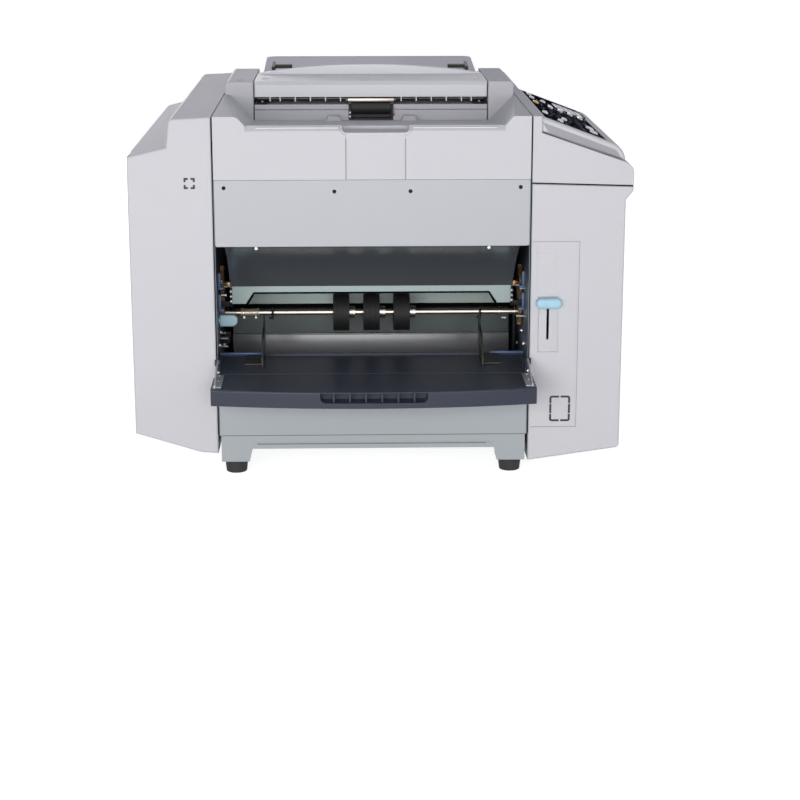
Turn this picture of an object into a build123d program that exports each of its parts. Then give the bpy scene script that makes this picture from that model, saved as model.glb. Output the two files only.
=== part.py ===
from build123d import *
import math
import os

# The model is drawn from the feed side: X to the right from the middle of the feed bay,
# Y into the machine from its front face, Z up from the standing surface.

# Body, walls and gaps
bay_width = 416.0
body_length = 634.0
cover_wall = 3.0
sheet = 2.0
seam = 1.5
hair_gap = 0.3
cover_overlap = 0.5
edge_round = 3.0
front_round = 1.5

# Heights of the front
foot_height = 18.0
base_bottom = 36.0
base_top = 55.0
lower_panel_top = 100.0
panel_return = 13.0
plate_bottom = 314.0
plate_screw_inset = 13.0
plate_screw_drop = 10.0
inner_screw_reach = 50.0
stud_reach = 154.0
stud_radius = 2.2
plate_top = 402.0
rail_top = 485.0
shoulder_top = 503.0

# Feet and legs
foot_radius = 16.0
foot_tread_radius = 14.0
leg_width = 38.0
leg_slope = 4.0
leg_length = 40.0
base_inset = 2.0

# Side frames
frame_gap = 6.0
frame_top = 440.0
flange_tab = 8.0
foot_flange = 16.0

# Left cover
left_width = 111.0
left_ledge_width = 52.0
left_ledge_outer = 433.0
left_ledge_inner = 445.5
left_step_top = 479.0
left_bottom_outer = 59.0
left_bottom_inner = 30.5
left_bottom_width = 23.0
cover_lip = 14.0
step_bevel = 3.5
step_run = 8.0
bottom_bevel = 1.5

# Right cover
right_width = 124.5
right_seam = 397.0
right_overhang = 10.0
right_bulge_height = 22.0
right_seam_fall = 4.0
bulge_rise = 12.0
bulge_round = 8.0
right_bottom_outer = 35.0
right_bottom_inner = 17.5
strip_width = 12.0
corner_bevel = 3.0
shoulder_height = 19.0
shoulder_round = 10.0
vent_pitch = 12.0
vent_count = 12
vent_width = 4.0
vent_length = 60.0

# Control panel
panel_length = 372.0
panel_top = 484.0
panel_slope = 20.5
panel_flat = 102.0
panel_outer_height = 424.5
panel_edge_thickness = 21.0
rear_ledge_height = 430.0
panel_setback = 5.0
panel_bevel = 6.0
panel_shadow_gap = 2.4
panel_shadow_depth = 7.0
membrane_margin = 5.0
membrane_front = 13.0
membrane_thickness = 0.8
key_travel = 1.2
key_rise = 1.6
key_depth = 4.0
key_gap = 0.3
window_length = 92.0
window_width = 44.0
window_depth = 2.5
window_across = 66.0
window_from_back = 76.0

# Upper front cover
recess_left = 166.0
recess_right = 174.0
front_slope_run = 12.0
back_slope_run = 36.0
recess_lip = 473.0
recess_front_floor = 471.0
recess_back_floor = 447.5
lip_bevel = 7.0
rail_length = 286.0
rail_round = 11.0
grip_width = 78.0
grip_centre = 4.5
scoop_width = 89.0
scoop_depth = 42.0
scoop_floor = 464.0
scoop_wall = 2.5
scoop_corner = 8.0
scoop_end_round = 14.0
scoop_floor_round = 6.0
guide_bump_width = 23.0
guide_bump_length = 22.0
guide_bump_start = 262.0
guide_bump_height = 8.3
guide_bump_bevel = 4.0
guide_bump_centre = 2.5
guide_bump_spacing = 108.7

# Original feeder on top
feeder_centre = 2.0
feeder_width = 336.0
feeder_length = 138.0
lid_bottom = 481.0
ridge_height = 13.0
ridge_depth = 16.0
ridge_end_height = 1.5
lid_nose = 5.0
stop_pad_radius = 6.0
stop_pad_height = 1.2
stop_pad_inset = 27.0
shoulder_fall = 134.0
shoulder_top_round = 7.0
rear_lip_height = 60.0
bed_top = 470.0
bed_step = 464.0
bed_bottom = 441.0
bed_groove = 1.2
rib_pitch = 21.8
rib_first = 43.8
rib_count = 5
rib_thickness = 1.6
rib_bottom = 474.5
feeder_shaft_radius = 1.2
original_roller_radius = 9.0
original_roller_length = 57.0
original_axle_radius = 2.5
roller_frame_wall = 3.0
deck_height = 486.0
lid_open_deck = 436.0
lid_pin_height = 498.0
lid_pin_radius = 2.5

# Original tray
original_tray_gap = 5.0
original_tray_length = 182.0
original_tray_start = 8.0
original_tray_corner = 14.0
original_tray_slope = 5.0
original_tray_thickness = 4.0
original_tray_rise = 10.0
original_guide_inset = 18.0
original_guide_start = 12.0
original_slot_start = 30.0
original_slot_width = 3.0
original_guide_height = 13.0
original_guide_length = 46.0
original_guide_arm = 26.0
original_guide_travel = 100.0

# Feed bay
guide_plate_width = 394.0
guide_plate_end_y = 128.0
guide_plate_end_z = 235.5
guide_plate_sag = 9.0
guide_flange = 30.0
bracket_y = 130.0
bracket_width = 390.0
bracket_height = 8.5
bracket_leg = 16.5
bracket_leg_width = 19.0
bracket_leg_slope = 11.0
chute_y = 200.0
chute_width = 398.0
chute_low_top = 151.0
chute_mid_top = 180.0
chute_high_top = 226.0
chute_step = 7.0
chute_foot = 30.0

# Feed shaft, rollers and gears
feed_shaft_y = 165.0
feed_shaft_z = 190.0
feed_shaft_radius = 4.0
feed_roller_radius = 26.5
feed_roller_width = 22.8
feed_roller_pitch = 42.7
collar_radius = 8.0
collar_width = 8.5
sleeve_radius = 5.5
sleeve_length = 26.0
sleeve_x = -172.0
bore_clearance = 0.05
gear_module = 1.5
feed_gear_teeth = 24
drive_gear_teeth = 32
gear_width = 5.0
gear_side_gap = 1.5
gear_backlash = 0.25

# Feed tray
tray_top = 141.0
tray_plate_back = 107.0
tray_ear_start = 60.0
tray_ear_size = 30.0
tray_plate_thickness = 3.0
tray_lip_width = 426.0
tray_side_y = 82.0
tray_bow = 20.0
tray_lip_height = 22.0
tray_grip_width = 140.0
tray_grip_height = 15.0
tray_grip_depth = 26.0
tray_grip_cover = 1.6
tray_grip_corner = 7.0
tray_rib_pitch = 21.0
tray_rib_count = 6
tray_rib_thickness = 2.5
tray_rib_start = 8.0
pivot_y = -5.0
pivot_z = 158.0
pivot_radius = 2.5
pivot_head_radius = 4.2
arm_thickness = 2.0
paper_width = 297.0
paper_guide_height = 56.0
paper_guide_front = 40.0
paper_guide_back = 104.0
paper_guide_reach = 18.0

# Levers
lever_y = 132.0
lever_z = 186.0
lever_length = 25.0
lever_height = 16.4
lever_depth = 9.0
lever_pin_radius = 4.0
knob_x = 234.5
knob_z = 236.5
knob_width = 34.5
knob_height = 13.6
knob_rise = 10.0
knob_travel = 48.0
slot_width = 3.4
inset_width = 64.5
inset_bottom = 65.0
inset_top = 319.0
inset_sink = 1.2
pocket_width = 27.0
pocket_bottom = 168.5
pocket_depth = 5.0

# Print drum
drum_y = 400.0
drum_z = 275.0
drum_radius = 90.0
drum_wall = 3.0
drum_length = 320.0
drum_shaft_radius = 10.0
press_roller_radius = 30.0
press_shaft_radius = 6.0

# Rear
receiving_width = 400.0
receiving_height = 330.0
receiving_bottom = 62.0
receiving_thickness = 12.0
receiving_corner = 16.0
receiving_border = 14.0
receiving_hinge_inset = 40.0
receiving_rib_pitch = 70.0
receiving_rib_count = 5
hinge_pin_radius = 3.0
hinge_wall = 2.5
lug_width = 5.7
original_eye_half = 6.0
receiving_eye_half = 14.0
exit_width = 330.0
exit_bottom = 170.0
exit_top = 250.0
rear_vent_pitch = 6.0
rear_vent_height = 2.5
rear_vent_left = -150.0
rear_vent_right = -60.0
door_front = 240.0
door_back = 590.0
door_bottom = 70.0
door_top = 370.0
pull_width = 18.0
pull_height = 86.0
pull_depth = 12.0
inlet_width = 28.0
inlet_height = 22.0
switch_width = 14.0
switch_height = 20.0

# Places that follow from the sizes above
half_bay = bay_width / 2
cover_half = half_bay + cover_overlap
left_inner = -(cover_half + seam)
left_outer = left_inner - left_width
right_inner = cover_half + seam
right_outer = right_inner + right_width
right_reach = right_outer + right_overhang
frame_inner = half_bay + frame_gap
frame_outer = frame_inner + sheet
front_panel_half = half_bay - 0.5
rear_y = body_length
tray_front = -(tray_side_y + tray_bow)
receiving_y = rear_y + hinge_pin_radius + 4
rear_reach = receiving_y + receiving_thickness
centre_x = (left_outer + right_reach) / 2
centre_y = (tray_front + rear_reach) / 2
original_tray_width = feeder_width - 2 * original_tray_gap
original_tray_height = deck_height + original_tray_rise


def box(x0, x1, y0, y1, z0, z1):
    """A block between two corners."""
    return Pos((x0 + x1) / 2, (y0 + y1) / 2, (z0 + z1) / 2) * Box(x1 - x0, y1 - y0, z1 - z0)


def front_prism(points, y0, y1):
    """An outline in X and Z, drawn on the front and run back from y0 to y1."""
    outline = Polyline(*[(x, y0, z) for x, z in points], close=True)
    return extrude(make_face(outline), y1 - y0, dir=(0, 1, 0))


def side_prism(points, x0, x1):
    """An outline in Y and Z, run across from x0 to x1."""
    outline = Polyline(*[(x0, y, z) for y, z in points], close=True)
    return extrude(make_face(outline), x1 - x0, dir=(1, 0, 0))


def plan_prism(points, z0, z1):
    """An outline in X and Y, run up from z0 to z1."""
    outline = Polyline(*[(x, y, z0) for x, y in points], close=True)
    return extrude(make_face(outline), z1 - z0, dir=(0, 0, 1))


def rod_x(y, z, radius, x0, x1):
    """A round bar along X."""
    return Pos((x0 + x1) / 2, y, z) * Rot(0, 90, 0) * Cylinder(radius, x1 - x0)


def rod_y(x, z, radius, y0, y1):
    """A round bar along Y."""
    return Pos(x, (y0 + y1) / 2, z) * Rot(90, 0, 0) * Cylinder(radius, y1 - y0)


def edges_along(part, axis, **limits):
    """Edges parallel to an axis, whose middle lies within the limits given for x, y or z."""
    chosen = []
    for edge in part.edges().filter_by(axis):
        middle = edge.center()
        place = {"x": middle.X, "y": middle.Y, "z": middle.Z}
        if all(low - 0.01 <= place[name] <= high + 0.01 for name, (low, high) in limits.items()):
            chosen.append(edge)
    return chosen


def inset_outline(points, wall):
    """The face of an outline in X and Z at Y = 0, moved inwards by the wall."""
    face = make_face(Polyline(*[(x, 0, z) for x, z in points], close=True))
    return offset(face, -wall, kind=Kind.INTERSECTION)


def moulded_cover(points, y0, y1, open_x, open_from, open_to, rounds=()):
    """A hollow side cover: its outline run back, with rounded front edges and an open inner side."""
    body = front_prism(points, y0, y1)
    for x, z, radius in rounds:
        body = fillet(edges_along(body, Axis.Y, x=(x, x), z=(z, z)), radius)
    body = fillet(body.faces().sort_by(Axis.Y)[0].edges(), edge_round)
    hollow = extrude(inset_outline(points, cover_wall), y1 - y0 - 2 * cover_wall, dir=(0, 1, 0))
    body -= Pos(0, y0 + cover_wall, 0) * hollow
    reach = cover_wall * 1.5
    body -= box(open_x - reach, open_x + reach, y0 + cover_lip, y1 - cover_lip, open_from, open_to)
    return body


def clear_of_frame(cover, side):
    """Cut away what would run into the side frame and its flange."""
    x0, x1 = sorted((side * (half_bay - 12), side * (frame_outer + hair_gap)))
    return cover - box(x0, x1, cover_wall, rear_y - cover_wall, base_top - 1, frame_top + hair_gap)


def rubber_feet():
    """Four round rubber feet, a little narrower at the floor."""
    foot = Cone(foot_tread_radius, foot_radius, foot_height, align=(Align.CENTER, Align.CENTER, Align.MIN))
    foot = fillet(foot.faces().sort_by(Axis.Z)[0].edges(), 1.5)
    spots = []
    for x in leg_centres():
        for y in leg_rows():
            spots.append(Pos(x, y, 0) * foot)
    return spots


def leg_centres():
    half = half_bay - base_inset
    return (-half + leg_width / 2, half - leg_width / 2)


def leg_rows():
    return (base_inset + leg_length / 2, rear_y - base_inset - leg_length / 2)


def base_frame():
    """Folded steel base: front and rear skirts with legs, side walls, a floor and four leg boxes."""
    half = half_bay - base_inset
    low = foot_height
    skirt = [
        (-half, base_top), (-half, low), (-half + leg_width, low),
        (-half + leg_width + leg_slope, base_bottom),
        (half - leg_width - leg_slope, base_bottom), (half - leg_width, low), (half, low), (half, base_top),
    ]
    frame = front_prism(skirt, base_inset, base_inset + sheet)
    frame += front_prism(skirt, rear_y - base_inset - sheet, rear_y - base_inset)
    frame += box(-half, half, base_inset, rear_y - base_inset, base_top - sheet, base_top)
    for side in (-1, 1):
        wall = sorted((side * half, side * (half - sheet)))
        frame += box(wall[0], wall[1], base_inset, rear_y - base_inset, base_bottom, base_top)
    for x in leg_centres():
        for y in leg_rows():
            leg = box(x - leg_width / 2, x + leg_width / 2, y - leg_length / 2, y + leg_length / 2,
                      low, base_top)
            inner_w = leg_width / 2 - sheet
            inner_l = leg_length / 2 - sheet
            leg -= box(x - inner_w, x + inner_w, y - inner_l, y + inner_l, low + sheet, base_top - sheet)
            frame += leg
    groove_z = (base_bottom + base_top) / 2 - 2
    frame -= box(-half + 1.2 * leg_width, half - 1.2 * leg_width, base_inset - 1, base_inset + 0.5,
                 groove_z, groove_z + 1)
    return frame


def side_frame(side):
    """Steel side plate with its front flange, wide tab behind the front plate, and shaft bores."""
    x0, x1 = sorted((side * frame_inner, side * frame_outer))
    plate = box(x0, x1, cover_wall, rear_y - cover_wall - hair_gap, base_top, frame_top)
    f0, f1 = sorted((side * half_bay, side * frame_outer))
    plate += box(f0, f1, cover_wall, cover_wall + sheet, base_top, plate_top)
    t0, t1 = sorted((side * (half_bay - flange_tab), side * frame_outer))
    plate += box(t0, t1, cover_wall, cover_wall + sheet, plate_bottom + 4, plate_top)
    foot0, foot1 = sorted((side * (half_bay - foot_flange), side * frame_outer))
    plate += box(foot0, foot1, panel_return + cover_wall, rear_y - cover_wall - hair_gap,
                 base_top, base_top + sheet)
    bores = [
        (feed_shaft_y, feed_shaft_z, feed_shaft_radius),
        (drive_gear_y(), drive_gear_z(), feed_shaft_radius),
        (drum_y, drum_z, drum_shaft_radius),
        (drum_y, press_roller_z(), press_shaft_radius),
    ]
    if side < 0:
        bores.append((lever_y, lever_z, lever_pin_radius))
    for y, z, radius in bores:
        plate -= rod_x(y, z, radius + bore_clearance, x0 - 1, x1 + 1)
    return plate


def left_cover():
    """Stepped moulded cover on the left, with cooling slots low on its outer side."""
    step = left_outer + left_ledge_width
    outline = [
        (left_outer, left_bottom_outer), (left_outer, left_ledge_outer), (step, left_ledge_inner),
        (step + step_bevel, left_step_top), (step + step_run, left_step_top + step_bevel),
        (left_inner, rail_top),
        (left_inner, left_bottom_inner), (left_inner - left_bottom_width, left_bottom_inner + bottom_bevel),
    ]
    cover = moulded_cover(outline, 0, rear_y, left_inner, left_bottom_inner + cover_lip, rail_top - cover_lip)
    first = rear_y - vent_length - vent_pitch * (vent_count - 1)
    low = left_bottom_outer + vent_length
    for n in range(vent_count):
        y = first + n * vent_pitch
        cover -= box(left_outer - 1, left_outer + cover_wall + 1, y, y + vent_width, low, low + vent_length)
    return clear_of_frame(cover, -1)


def right_cover():
    """Lower cover on the right: bulged top edge, inset panel, knob slot and the drum door opening."""
    top = right_seam - seam / 2
    bulge = top - right_bulge_height
    outline = [
        (right_inner, right_bottom_inner), (right_outer - corner_bevel, right_bottom_outer - 0.5),
        (right_outer, right_bottom_outer + corner_bevel), (right_outer, bulge),
        (right_reach, bulge + bulge_rise), (right_reach, top - right_seam_fall), (right_inner, top),
    ]
    rounds = [(right_outer, bulge, edge_round), (right_reach, bulge + bulge_rise, bulge_round)]
    low = right_bottom_inner + cover_lip
    cover = moulded_cover(outline, 0, rear_y, right_inner, low, top - cover_lip, rounds)
    cover -= box(right_inner + seam, right_inner + inset_width, -1, inset_sink, inset_bottom, inset_top)
    cover -= box(knob_x - pocket_width / 2, knob_x + pocket_width / 2, -1, cover_wall + 1,
                 pocket_bottom, pocket_top())
    cover -= box(right_outer - cover_wall - 1, right_outer + 1, door_front, door_back, door_bottom, door_top)
    return clear_of_frame(cover + slot_pocket() + door_hinges(), 1)


def pocket_top():
    return knob_z + knob_height / 2 + 2


def slot_pocket():
    """Recessed pocket behind the feed pressure knob, with its long slot."""
    half = pocket_width / 2
    back = pocket_depth + cover_wall
    plate = box(knob_x - half - cover_wall, knob_x + half + cover_wall, cover_wall, back,
                pocket_bottom - cover_wall, pocket_top() + cover_wall)
    plate -= box(knob_x - half, knob_x + half, cover_wall - 1, pocket_depth, pocket_bottom, pocket_top())
    half_slot = slot_width / 2
    plate -= box(knob_x - half_slot, knob_x + half_slot, 0, back + 1,
                 knob_z - knob_travel - slot_width, knob_z + slot_width)
    return plate


def pressure_knob():
    """Blue capsule knob on its flat stem, which runs in the slot."""
    half = knob_width / 2 - knob_height / 2
    knob = box(knob_x - half, knob_x + half, -knob_rise, -0.5,
               knob_z - knob_height / 2, knob_z + knob_height / 2)
    for side in (-1, 1):
        knob += rod_y(knob_x + side * half, knob_z, knob_height / 2, -knob_rise, -0.5)
    knob = fillet(knob.faces().sort_by(Axis.Y)[0].edges(), 4.0)
    stem_half = slot_width / 2 - hair_gap
    knob += box(knob_x - stem_half, knob_x + stem_half, -1, pocket_depth + cover_wall + 4,
                knob_z - 1.5, knob_z + 1.5)
    knob += box(knob_x - stem_half - 3, knob_x + stem_half + 3, pocket_depth + cover_wall + hair_gap,
                pocket_depth + cover_wall + 4, knob_z - 4, knob_z + 4)
    return knob


def panel_underside(x):
    """Height of the seat below the control panel at a place across the machine."""
    low_x = right_outer - 1
    start = panel_top - panel_edge_thickness
    return start + (panel_outer_height - start) * (x - panel_left()) / (low_x - panel_left())


def panel_left():
    return right_inner + strip_width


def panel_surface(x):
    """Height of the control panel's flat top at a place across the machine."""
    return panel_top - (x - panel_left()) * math.tan(math.radians(panel_slope))


def upper_right_cover():
    """Cover below and beside the control panel, with a lower ledge behind it."""
    low = right_seam + seam / 2
    left = panel_left()
    shoulder = low + shoulder_height
    outer = right_outer - 1
    corner = [(right_reach, low - right_seam_fall), (right_reach, shoulder), (outer, panel_underside(outer))]
    front = [(right_inner, low)] + corner
    front += [(left, panel_underside(left)), (left, rail_top), (right_inner, rail_top)]
    rear = [(right_inner, low)] + corner
    rear += [(left, rear_ledge_height), (left, rail_top), (right_inner, rail_top)]
    cover = front_prism(front, 0, panel_length)
    nose = {"x": (right_reach, right_reach), "z": (shoulder, shoulder)}
    cover = fillet(edges_along(cover, Axis.Y, **nose), shoulder_round)
    cover = fillet(cover.faces().sort_by(Axis.Y)[0].edges(), front_round)
    tail = front_prism(rear, panel_length, rear_y)
    cover += fillet(edges_along(tail, Axis.Y, **nose), shoulder_round)
    cover -= extrude(Pos(0, cover_wall, 0) * inset_outline(front, cover_wall),
                     panel_length - 2 * cover_wall, dir=(0, 1, 0))
    cover -= extrude(Pos(0, panel_length - cover_wall, 0) * inset_outline(rear, cover_wall),
                     rear_y - panel_length, dir=(0, 1, 0))
    cover -= box(right_inner - 1, right_inner + cover_wall + 1, cover_lip, rear_y - cover_lip,
                 low - 1, rail_top - cover_lip)
    return clear_of_frame(cover, 1)


def control_panel():
    """Sloped control panel housing: round outer edge, soft front edge, shadow gap, seats for the keys."""
    left = panel_left() + hair_gap
    flat_end = left + panel_flat * math.cos(math.radians(panel_slope)) - 3
    low_x = right_outer - 1
    y0 = panel_setback
    start = (left, y0, panel_underside(left) + hair_gap)
    top = (left, y0, panel_surface(left))
    shoulder = (flat_end, y0, panel_surface(flat_end))
    nose = (low_x, y0, panel_outer_height + hair_gap)
    bulge = 3.5
    middle = ((shoulder[0] + nose[0]) / 2 + bulge, y0, (shoulder[2] + nose[2]) / 2 + bulge)
    path = Line(start, top) + Line(top, shoulder) + ThreePointArc(shoulder, middle, nose) + Line(nose, start)
    housing = extrude(make_face(path), panel_length - 1 - y0, dir=(0, 1, 0))
    housing = fillet(panel_front_edges(housing), panel_bevel)
    gap = [
        (left - 1, start[2] - 1), (low_x + 1, nose[2] - 1),
        (low_x + 1, nose[2] + panel_shadow_gap), (left - 1, start[2] + panel_shadow_gap),
    ]
    housing -= front_prism(gap, y0 - 1, y0 + panel_shadow_depth)
    housing -= membrane_slab(membrane_thickness, 0)
    for name, x, y, w, l in key_table():
        housing -= key_block(x, y, w + 2 * key_gap, l + 2 * key_gap, -key_depth - key_travel - hair_gap, 1)
    x, y = window_place()
    housing -= key_block(x, y, window_width, window_length, -window_depth, 1)
    return housing


def panel_front_edges(housing):
    """The top and nose edges of the panel housing's front face."""
    front = housing.faces().sort_by(Axis.Y)[0]
    chosen = []
    for edge in front.edges():
        middle = edge.center()
        if middle.Z > panel_surface(middle.X) - panel_bevel:
            chosen.append(edge)
    return chosen


def panel_frame(x, y):
    """A place on the panel's top, turned to its slope."""
    return Pos(x, y, panel_surface(x)) * Rot(0, panel_slope, 0)


def key_block(x, y, width, length, low, high):
    """A rounded block on the panel's slope, from low to high above its face."""
    block = Box(width, length, high - low, align=(Align.CENTER, Align.CENTER, Align.MIN))
    block = fillet(block.edges().filter_by(Axis.Z), 0.45 * min(width, length))
    return panel_frame(x, y) * Pos(0, 0, low) * block


def membrane_slab(depth, rise):
    """The membrane's volume: flush with the panel face, inside its margins."""
    span = panel_flat - 4 - 2 * membrane_margin
    run = panel_length - membrane_front - membrane_margin - 2
    x = panel_left() + (panel_flat - 4) / 2 * math.cos(math.radians(panel_slope))
    slab = Box(span, run, depth + rise, align=(Align.CENTER, Align.MIN, Align.MIN))
    return panel_frame(x, membrane_front) * Pos(0, 0, -depth) * slab


def window_place():
    return (panel_left() + window_across, panel_length - window_from_back)


def key_table():
    """Each key: name, place across the panel and along the machine, width and length."""
    left = panel_left()
    back = panel_length
    keys = [
        ("start_key", left + 74, 52, 13, 22), ("stop_key", left + 74, 98, 13, 22),
        ("test_key", left + 12, 86, 9, 20), ("clear_key", left + 28, 40, 9, 20),
        ("recall_key", left + 38, 88, 9, 20), ("process_key", left + 12, back - 154, 10, 24),
        ("mode_key", left + 12, back - 90, 9, 16), ("image_key", left + 12, back - 43, 9, 16),
        ("speed_key", left + 28, back - 92, 9, 16),
    ]
    for n in range(4):
        keys.append((f"menu_key_{n + 1}", left + 33 + 14 * n, back - 149, 7, 34))
    return keys


def panel_membrane():
    """Dark printed membrane, open round the keys and the window."""
    film = membrane_slab(membrane_thickness, 0)
    for name, x, y, w, l in key_table():
        film -= key_block(x, y, w + 2 * key_gap, l + 2 * key_gap, -3, 1)
    x, y = window_place()
    return film - key_block(x, y, window_width, window_length, -3, 1)


def display_window():
    """Clear display window, flush with the membrane."""
    x, y = window_place()
    return key_block(x, y, window_width - 2 * hair_gap, window_length - 2 * hair_gap, -window_depth, 0)


def panel_key(x, y, width, length):
    """One key cap, which stands a little above the membrane."""
    return key_block(x, y, width, length, -key_depth, key_rise)


def upper_front_cover():
    """Front top moulding: two rails that thin out to the back, catch recess, lip and side walls."""
    half = cover_half
    low = plate_top + cover_overlap
    wall = cover_wall
    cover = box(-half, half, 0, rail_length, low, rail_top) - catch_recess()
    cover -= rail_slope(-recess_left, -1) + rail_slope(recess_right, 1)
    cover = fillet(rail_crests(cover), rail_round)
    cover = fillet(edges_along(cover, Axis.Z, x=(-half, -half), y=(0, 0)), front_round)
    cover = fillet(edges_along(cover, Axis.Z, x=(half, half), y=(0, 0)), front_round)
    under = [
        (wall, low - 1), (wall, recess_front_floor - lip_bevel - wall),
        (rail_length - wall, recess_back_floor - wall),
        (rail_length - wall, low - 1),
    ]
    cover -= side_prism(under, -half + wall, half - wall)
    cover -= scoop_shell(hair_gap, -1)
    cover -= box(grip_centre - grip_width / 2 - hair_gap, grip_centre + grip_width / 2 + hair_gap,
                 -1, wall + 1, low - 1, recess_lip)
    for side in (-1, 1):
        cover += guide_bump(guide_bump_centre + side * guide_bump_spacing / 2)
    return cover


def catch_recess():
    """Room of the catch recess: bevelled lip at the front, and a floor that falls to the back."""
    profile = [
        (-1, recess_lip - lip_bevel), (0, recess_lip - lip_bevel), (lip_bevel, recess_lip),
        (lip_bevel + front_round, recess_front_floor), (rail_length + 1, recess_back_floor),
        (rail_length + 1, rail_top + 1), (-1, rail_top + 1),
    ]
    return side_prism(profile, -recess_left, recess_right)


def rail_slope(x, side):
    """Room above a rail's inner slope, which leans out further towards the back."""
    ends = []
    sections = ((-1, recess_lip, front_slope_run), (rail_length + 1, recess_back_floor, back_slope_run))
    for y, foot, run in sections:
        high = rail_top + 1
        corners = [(x - side, y, foot), (x - side, y, high), (x + side * run, y, high), (x, y, foot)]
        ends.append(make_face(Polyline(*corners, close=True)))
    return loft(ends, ruled=True)


def rail_crests(cover):
    """The two long edges where the rails' tops turn down into the recess."""
    crests = []
    for edge in cover.edges():
        middle = edge.center()
        level = abs(middle.Z - rail_top) < 0.01
        if level and edge.length > rail_length - 1 and abs(middle.X) < cover_half - 1:
            crests.append(edge)
    return crests


def guide_bump(x):
    """One of the two low bumps at the recess's rear end, wider at its foot."""
    half = guide_bump_width / 2
    crown = recess_back_floor + guide_bump_height
    outline = [
        (x - half, recess_back_floor), (x - half + guide_bump_bevel, crown),
        (x + half - guide_bump_bevel, crown), (x + half, recess_back_floor),
        (x + half, recess_back_floor - 2), (x - half, recess_back_floor - 2),
    ]
    bump = front_prism(outline, guide_bump_start, guide_bump_start + guide_bump_length)
    return fillet(edges_along(bump, Axis.Y, z=(crown, crown)), front_round)


def scoop_shell(grow, front):
    """Outer form of the finger scoop, rounded at its lower corners."""
    half = scoop_width / 2 + scoop_wall + grow
    low = scoop_floor - scoop_wall - grow
    shell = box(grip_centre - half, grip_centre + half, front, scoop_depth + scoop_wall + grow,
                low, rail_top + 1)
    return fillet(edges_along(shell, Axis.Y, z=(low, low)), scoop_corner + grow)


def scoop():
    """The finger scoop in the lip: round back corners and a curved floor, open to the front."""
    half = scoop_width / 2
    body = box(grip_centre - half, grip_centre + half, -1, scoop_depth, scoop_floor, rail_top + 2)
    body = fillet(edges_along(body, Axis.Z, y=(scoop_depth, scoop_depth)), scoop_end_round)
    return fillet(edges_along(body, Axis.Y, z=(scoop_floor, scoop_floor)), scoop_floor_round)


def grip_panel():
    """Centre panel with the finger scoop that lifts the sheets: front plate and the scoop's shell."""
    half = grip_width / 2
    front = box(grip_centre - half, grip_centre + half, 0.6, cover_wall,
                plate_top + cover_overlap, scoop_floor - 1)
    shell = scoop_shell(0, 0) - catch_recess() - scoop()
    mark = box(grip_centre - 0.7, grip_centre + 0.7, scoop_depth - 1.5, scoop_depth + 1,
               scoop_floor + 1, recess_front_floor - 3)
    return front + shell + mark


def front_plate():
    """Bluish grey steel plate above the bay, with four screw holes."""
    plate = box(-front_panel_half, front_panel_half, 1, cover_wall, plate_bottom, plate_top)
    plate = fillet(edges_along(plate, Axis.Y), 2)
    for x, z in screw_places():
        plate -= rod_y(x, z, 2.2, 0, 5)
    return plate


def screw_places():
    side = half_bay - plate_screw_inset
    high = plate_top - plate_screw_drop
    middle = high - plate_screw_drop / 2
    return [(-side, high), (-inner_screw_reach, middle), (inner_screw_reach, middle), (side, high)]


def plate_screws():
    """Four dark pan-head screws in the front plate."""
    screws = []
    for x, z in screw_places():
        screw = rod_y(x, z, 2.1, 0.4, cover_wall) + rod_y(x, z, 3.0, 0.2, 1)
        screws.append(screw)
    return screws


def edge_studs():
    """Bright studs at the front plate's lower edge."""
    studs = []
    for x in (-stud_reach, stud_reach):
        studs.append(rod_y(x, plate_bottom - stud_radius, stud_radius, 0, 4))
    return studs


def lower_panel():
    """Steel panel below the feed tray, with a return along its foot and top."""
    panel = box(-front_panel_half, front_panel_half, 1, cover_wall, base_top, lower_panel_top)
    panel += box(-front_panel_half, front_panel_half, 1, 1 + panel_return,
                 lower_panel_top - sheet, lower_panel_top)
    panel += box(-front_panel_half, front_panel_half, 1, 1 + panel_return, base_top, base_top + sheet)
    return panel


def guide_plate():
    """Dark plate that curves down from behind the front plate to the cross bracket."""
    half = guide_plate_width / 2
    y0 = cover_wall + hair_gap
    start = (y0, plate_bottom + 2)
    end = (guide_plate_end_y - sheet, guide_plate_end_z)
    middle = ((start[0] + end[0]) / 2 + guide_plate_sag * 0.5, (start[1] + end[1]) / 2 + guide_plate_sag)
    curve = ThreePointArc((-half, *start), (-half, *middle), (-half, *end))
    back_start = (-half, start[0] + sheet, start[1] + 1.5)
    back_end = (-half, end[0] + 1.2, end[1] + sheet)
    back_middle = (-half, middle[0] + 1.2, middle[1] + sheet)
    outline = curve + Line((-half, *end), back_end) + ThreePointArc(back_end, back_middle, back_start)
    outline += Line(back_start, (-half, *start))
    plate = extrude(make_face(outline), guide_plate_width, dir=(1, 0, 0))
    ear = frame_inner - hair_gap
    ear_y = cover_wall + sheet + hair_gap
    flange = plate_bottom + guide_flange
    plate += box(-half, half, y0, y0 + sheet, plate_bottom + 2, plate_bottom + 6)
    plate += box(-half, half, ear_y, ear_y + sheet, plate_bottom + 3, flange)
    plate += box(-ear, ear, ear_y, ear_y + sheet, flange - 20, flange)
    return plate


def cross_bracket():
    """Grey green cross bracket with two short legs and a top flange."""
    half = bracket_width / 2
    top = guide_plate_end_z
    low = top - bracket_height
    leg = low - bracket_leg
    outline = [
        (-half, top), (-half, leg), (-half + bracket_leg_width, leg),
        (-half + bracket_leg_width + bracket_leg_slope, low),
        (half - bracket_leg_width - bracket_leg_slope, low), (half - bracket_leg_width, leg),
        (half, leg), (half, top),
    ]
    bracket = front_prism(outline, bracket_y - sheet, bracket_y)
    bracket += box(-half, half, bracket_y, bracket_y + 22, top - sheet, top)
    reach = frame_inner - hair_gap
    bracket += box(-reach, reach, bracket_y + 1, bracket_y + 8, top - sheet, top)
    return bracket


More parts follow.
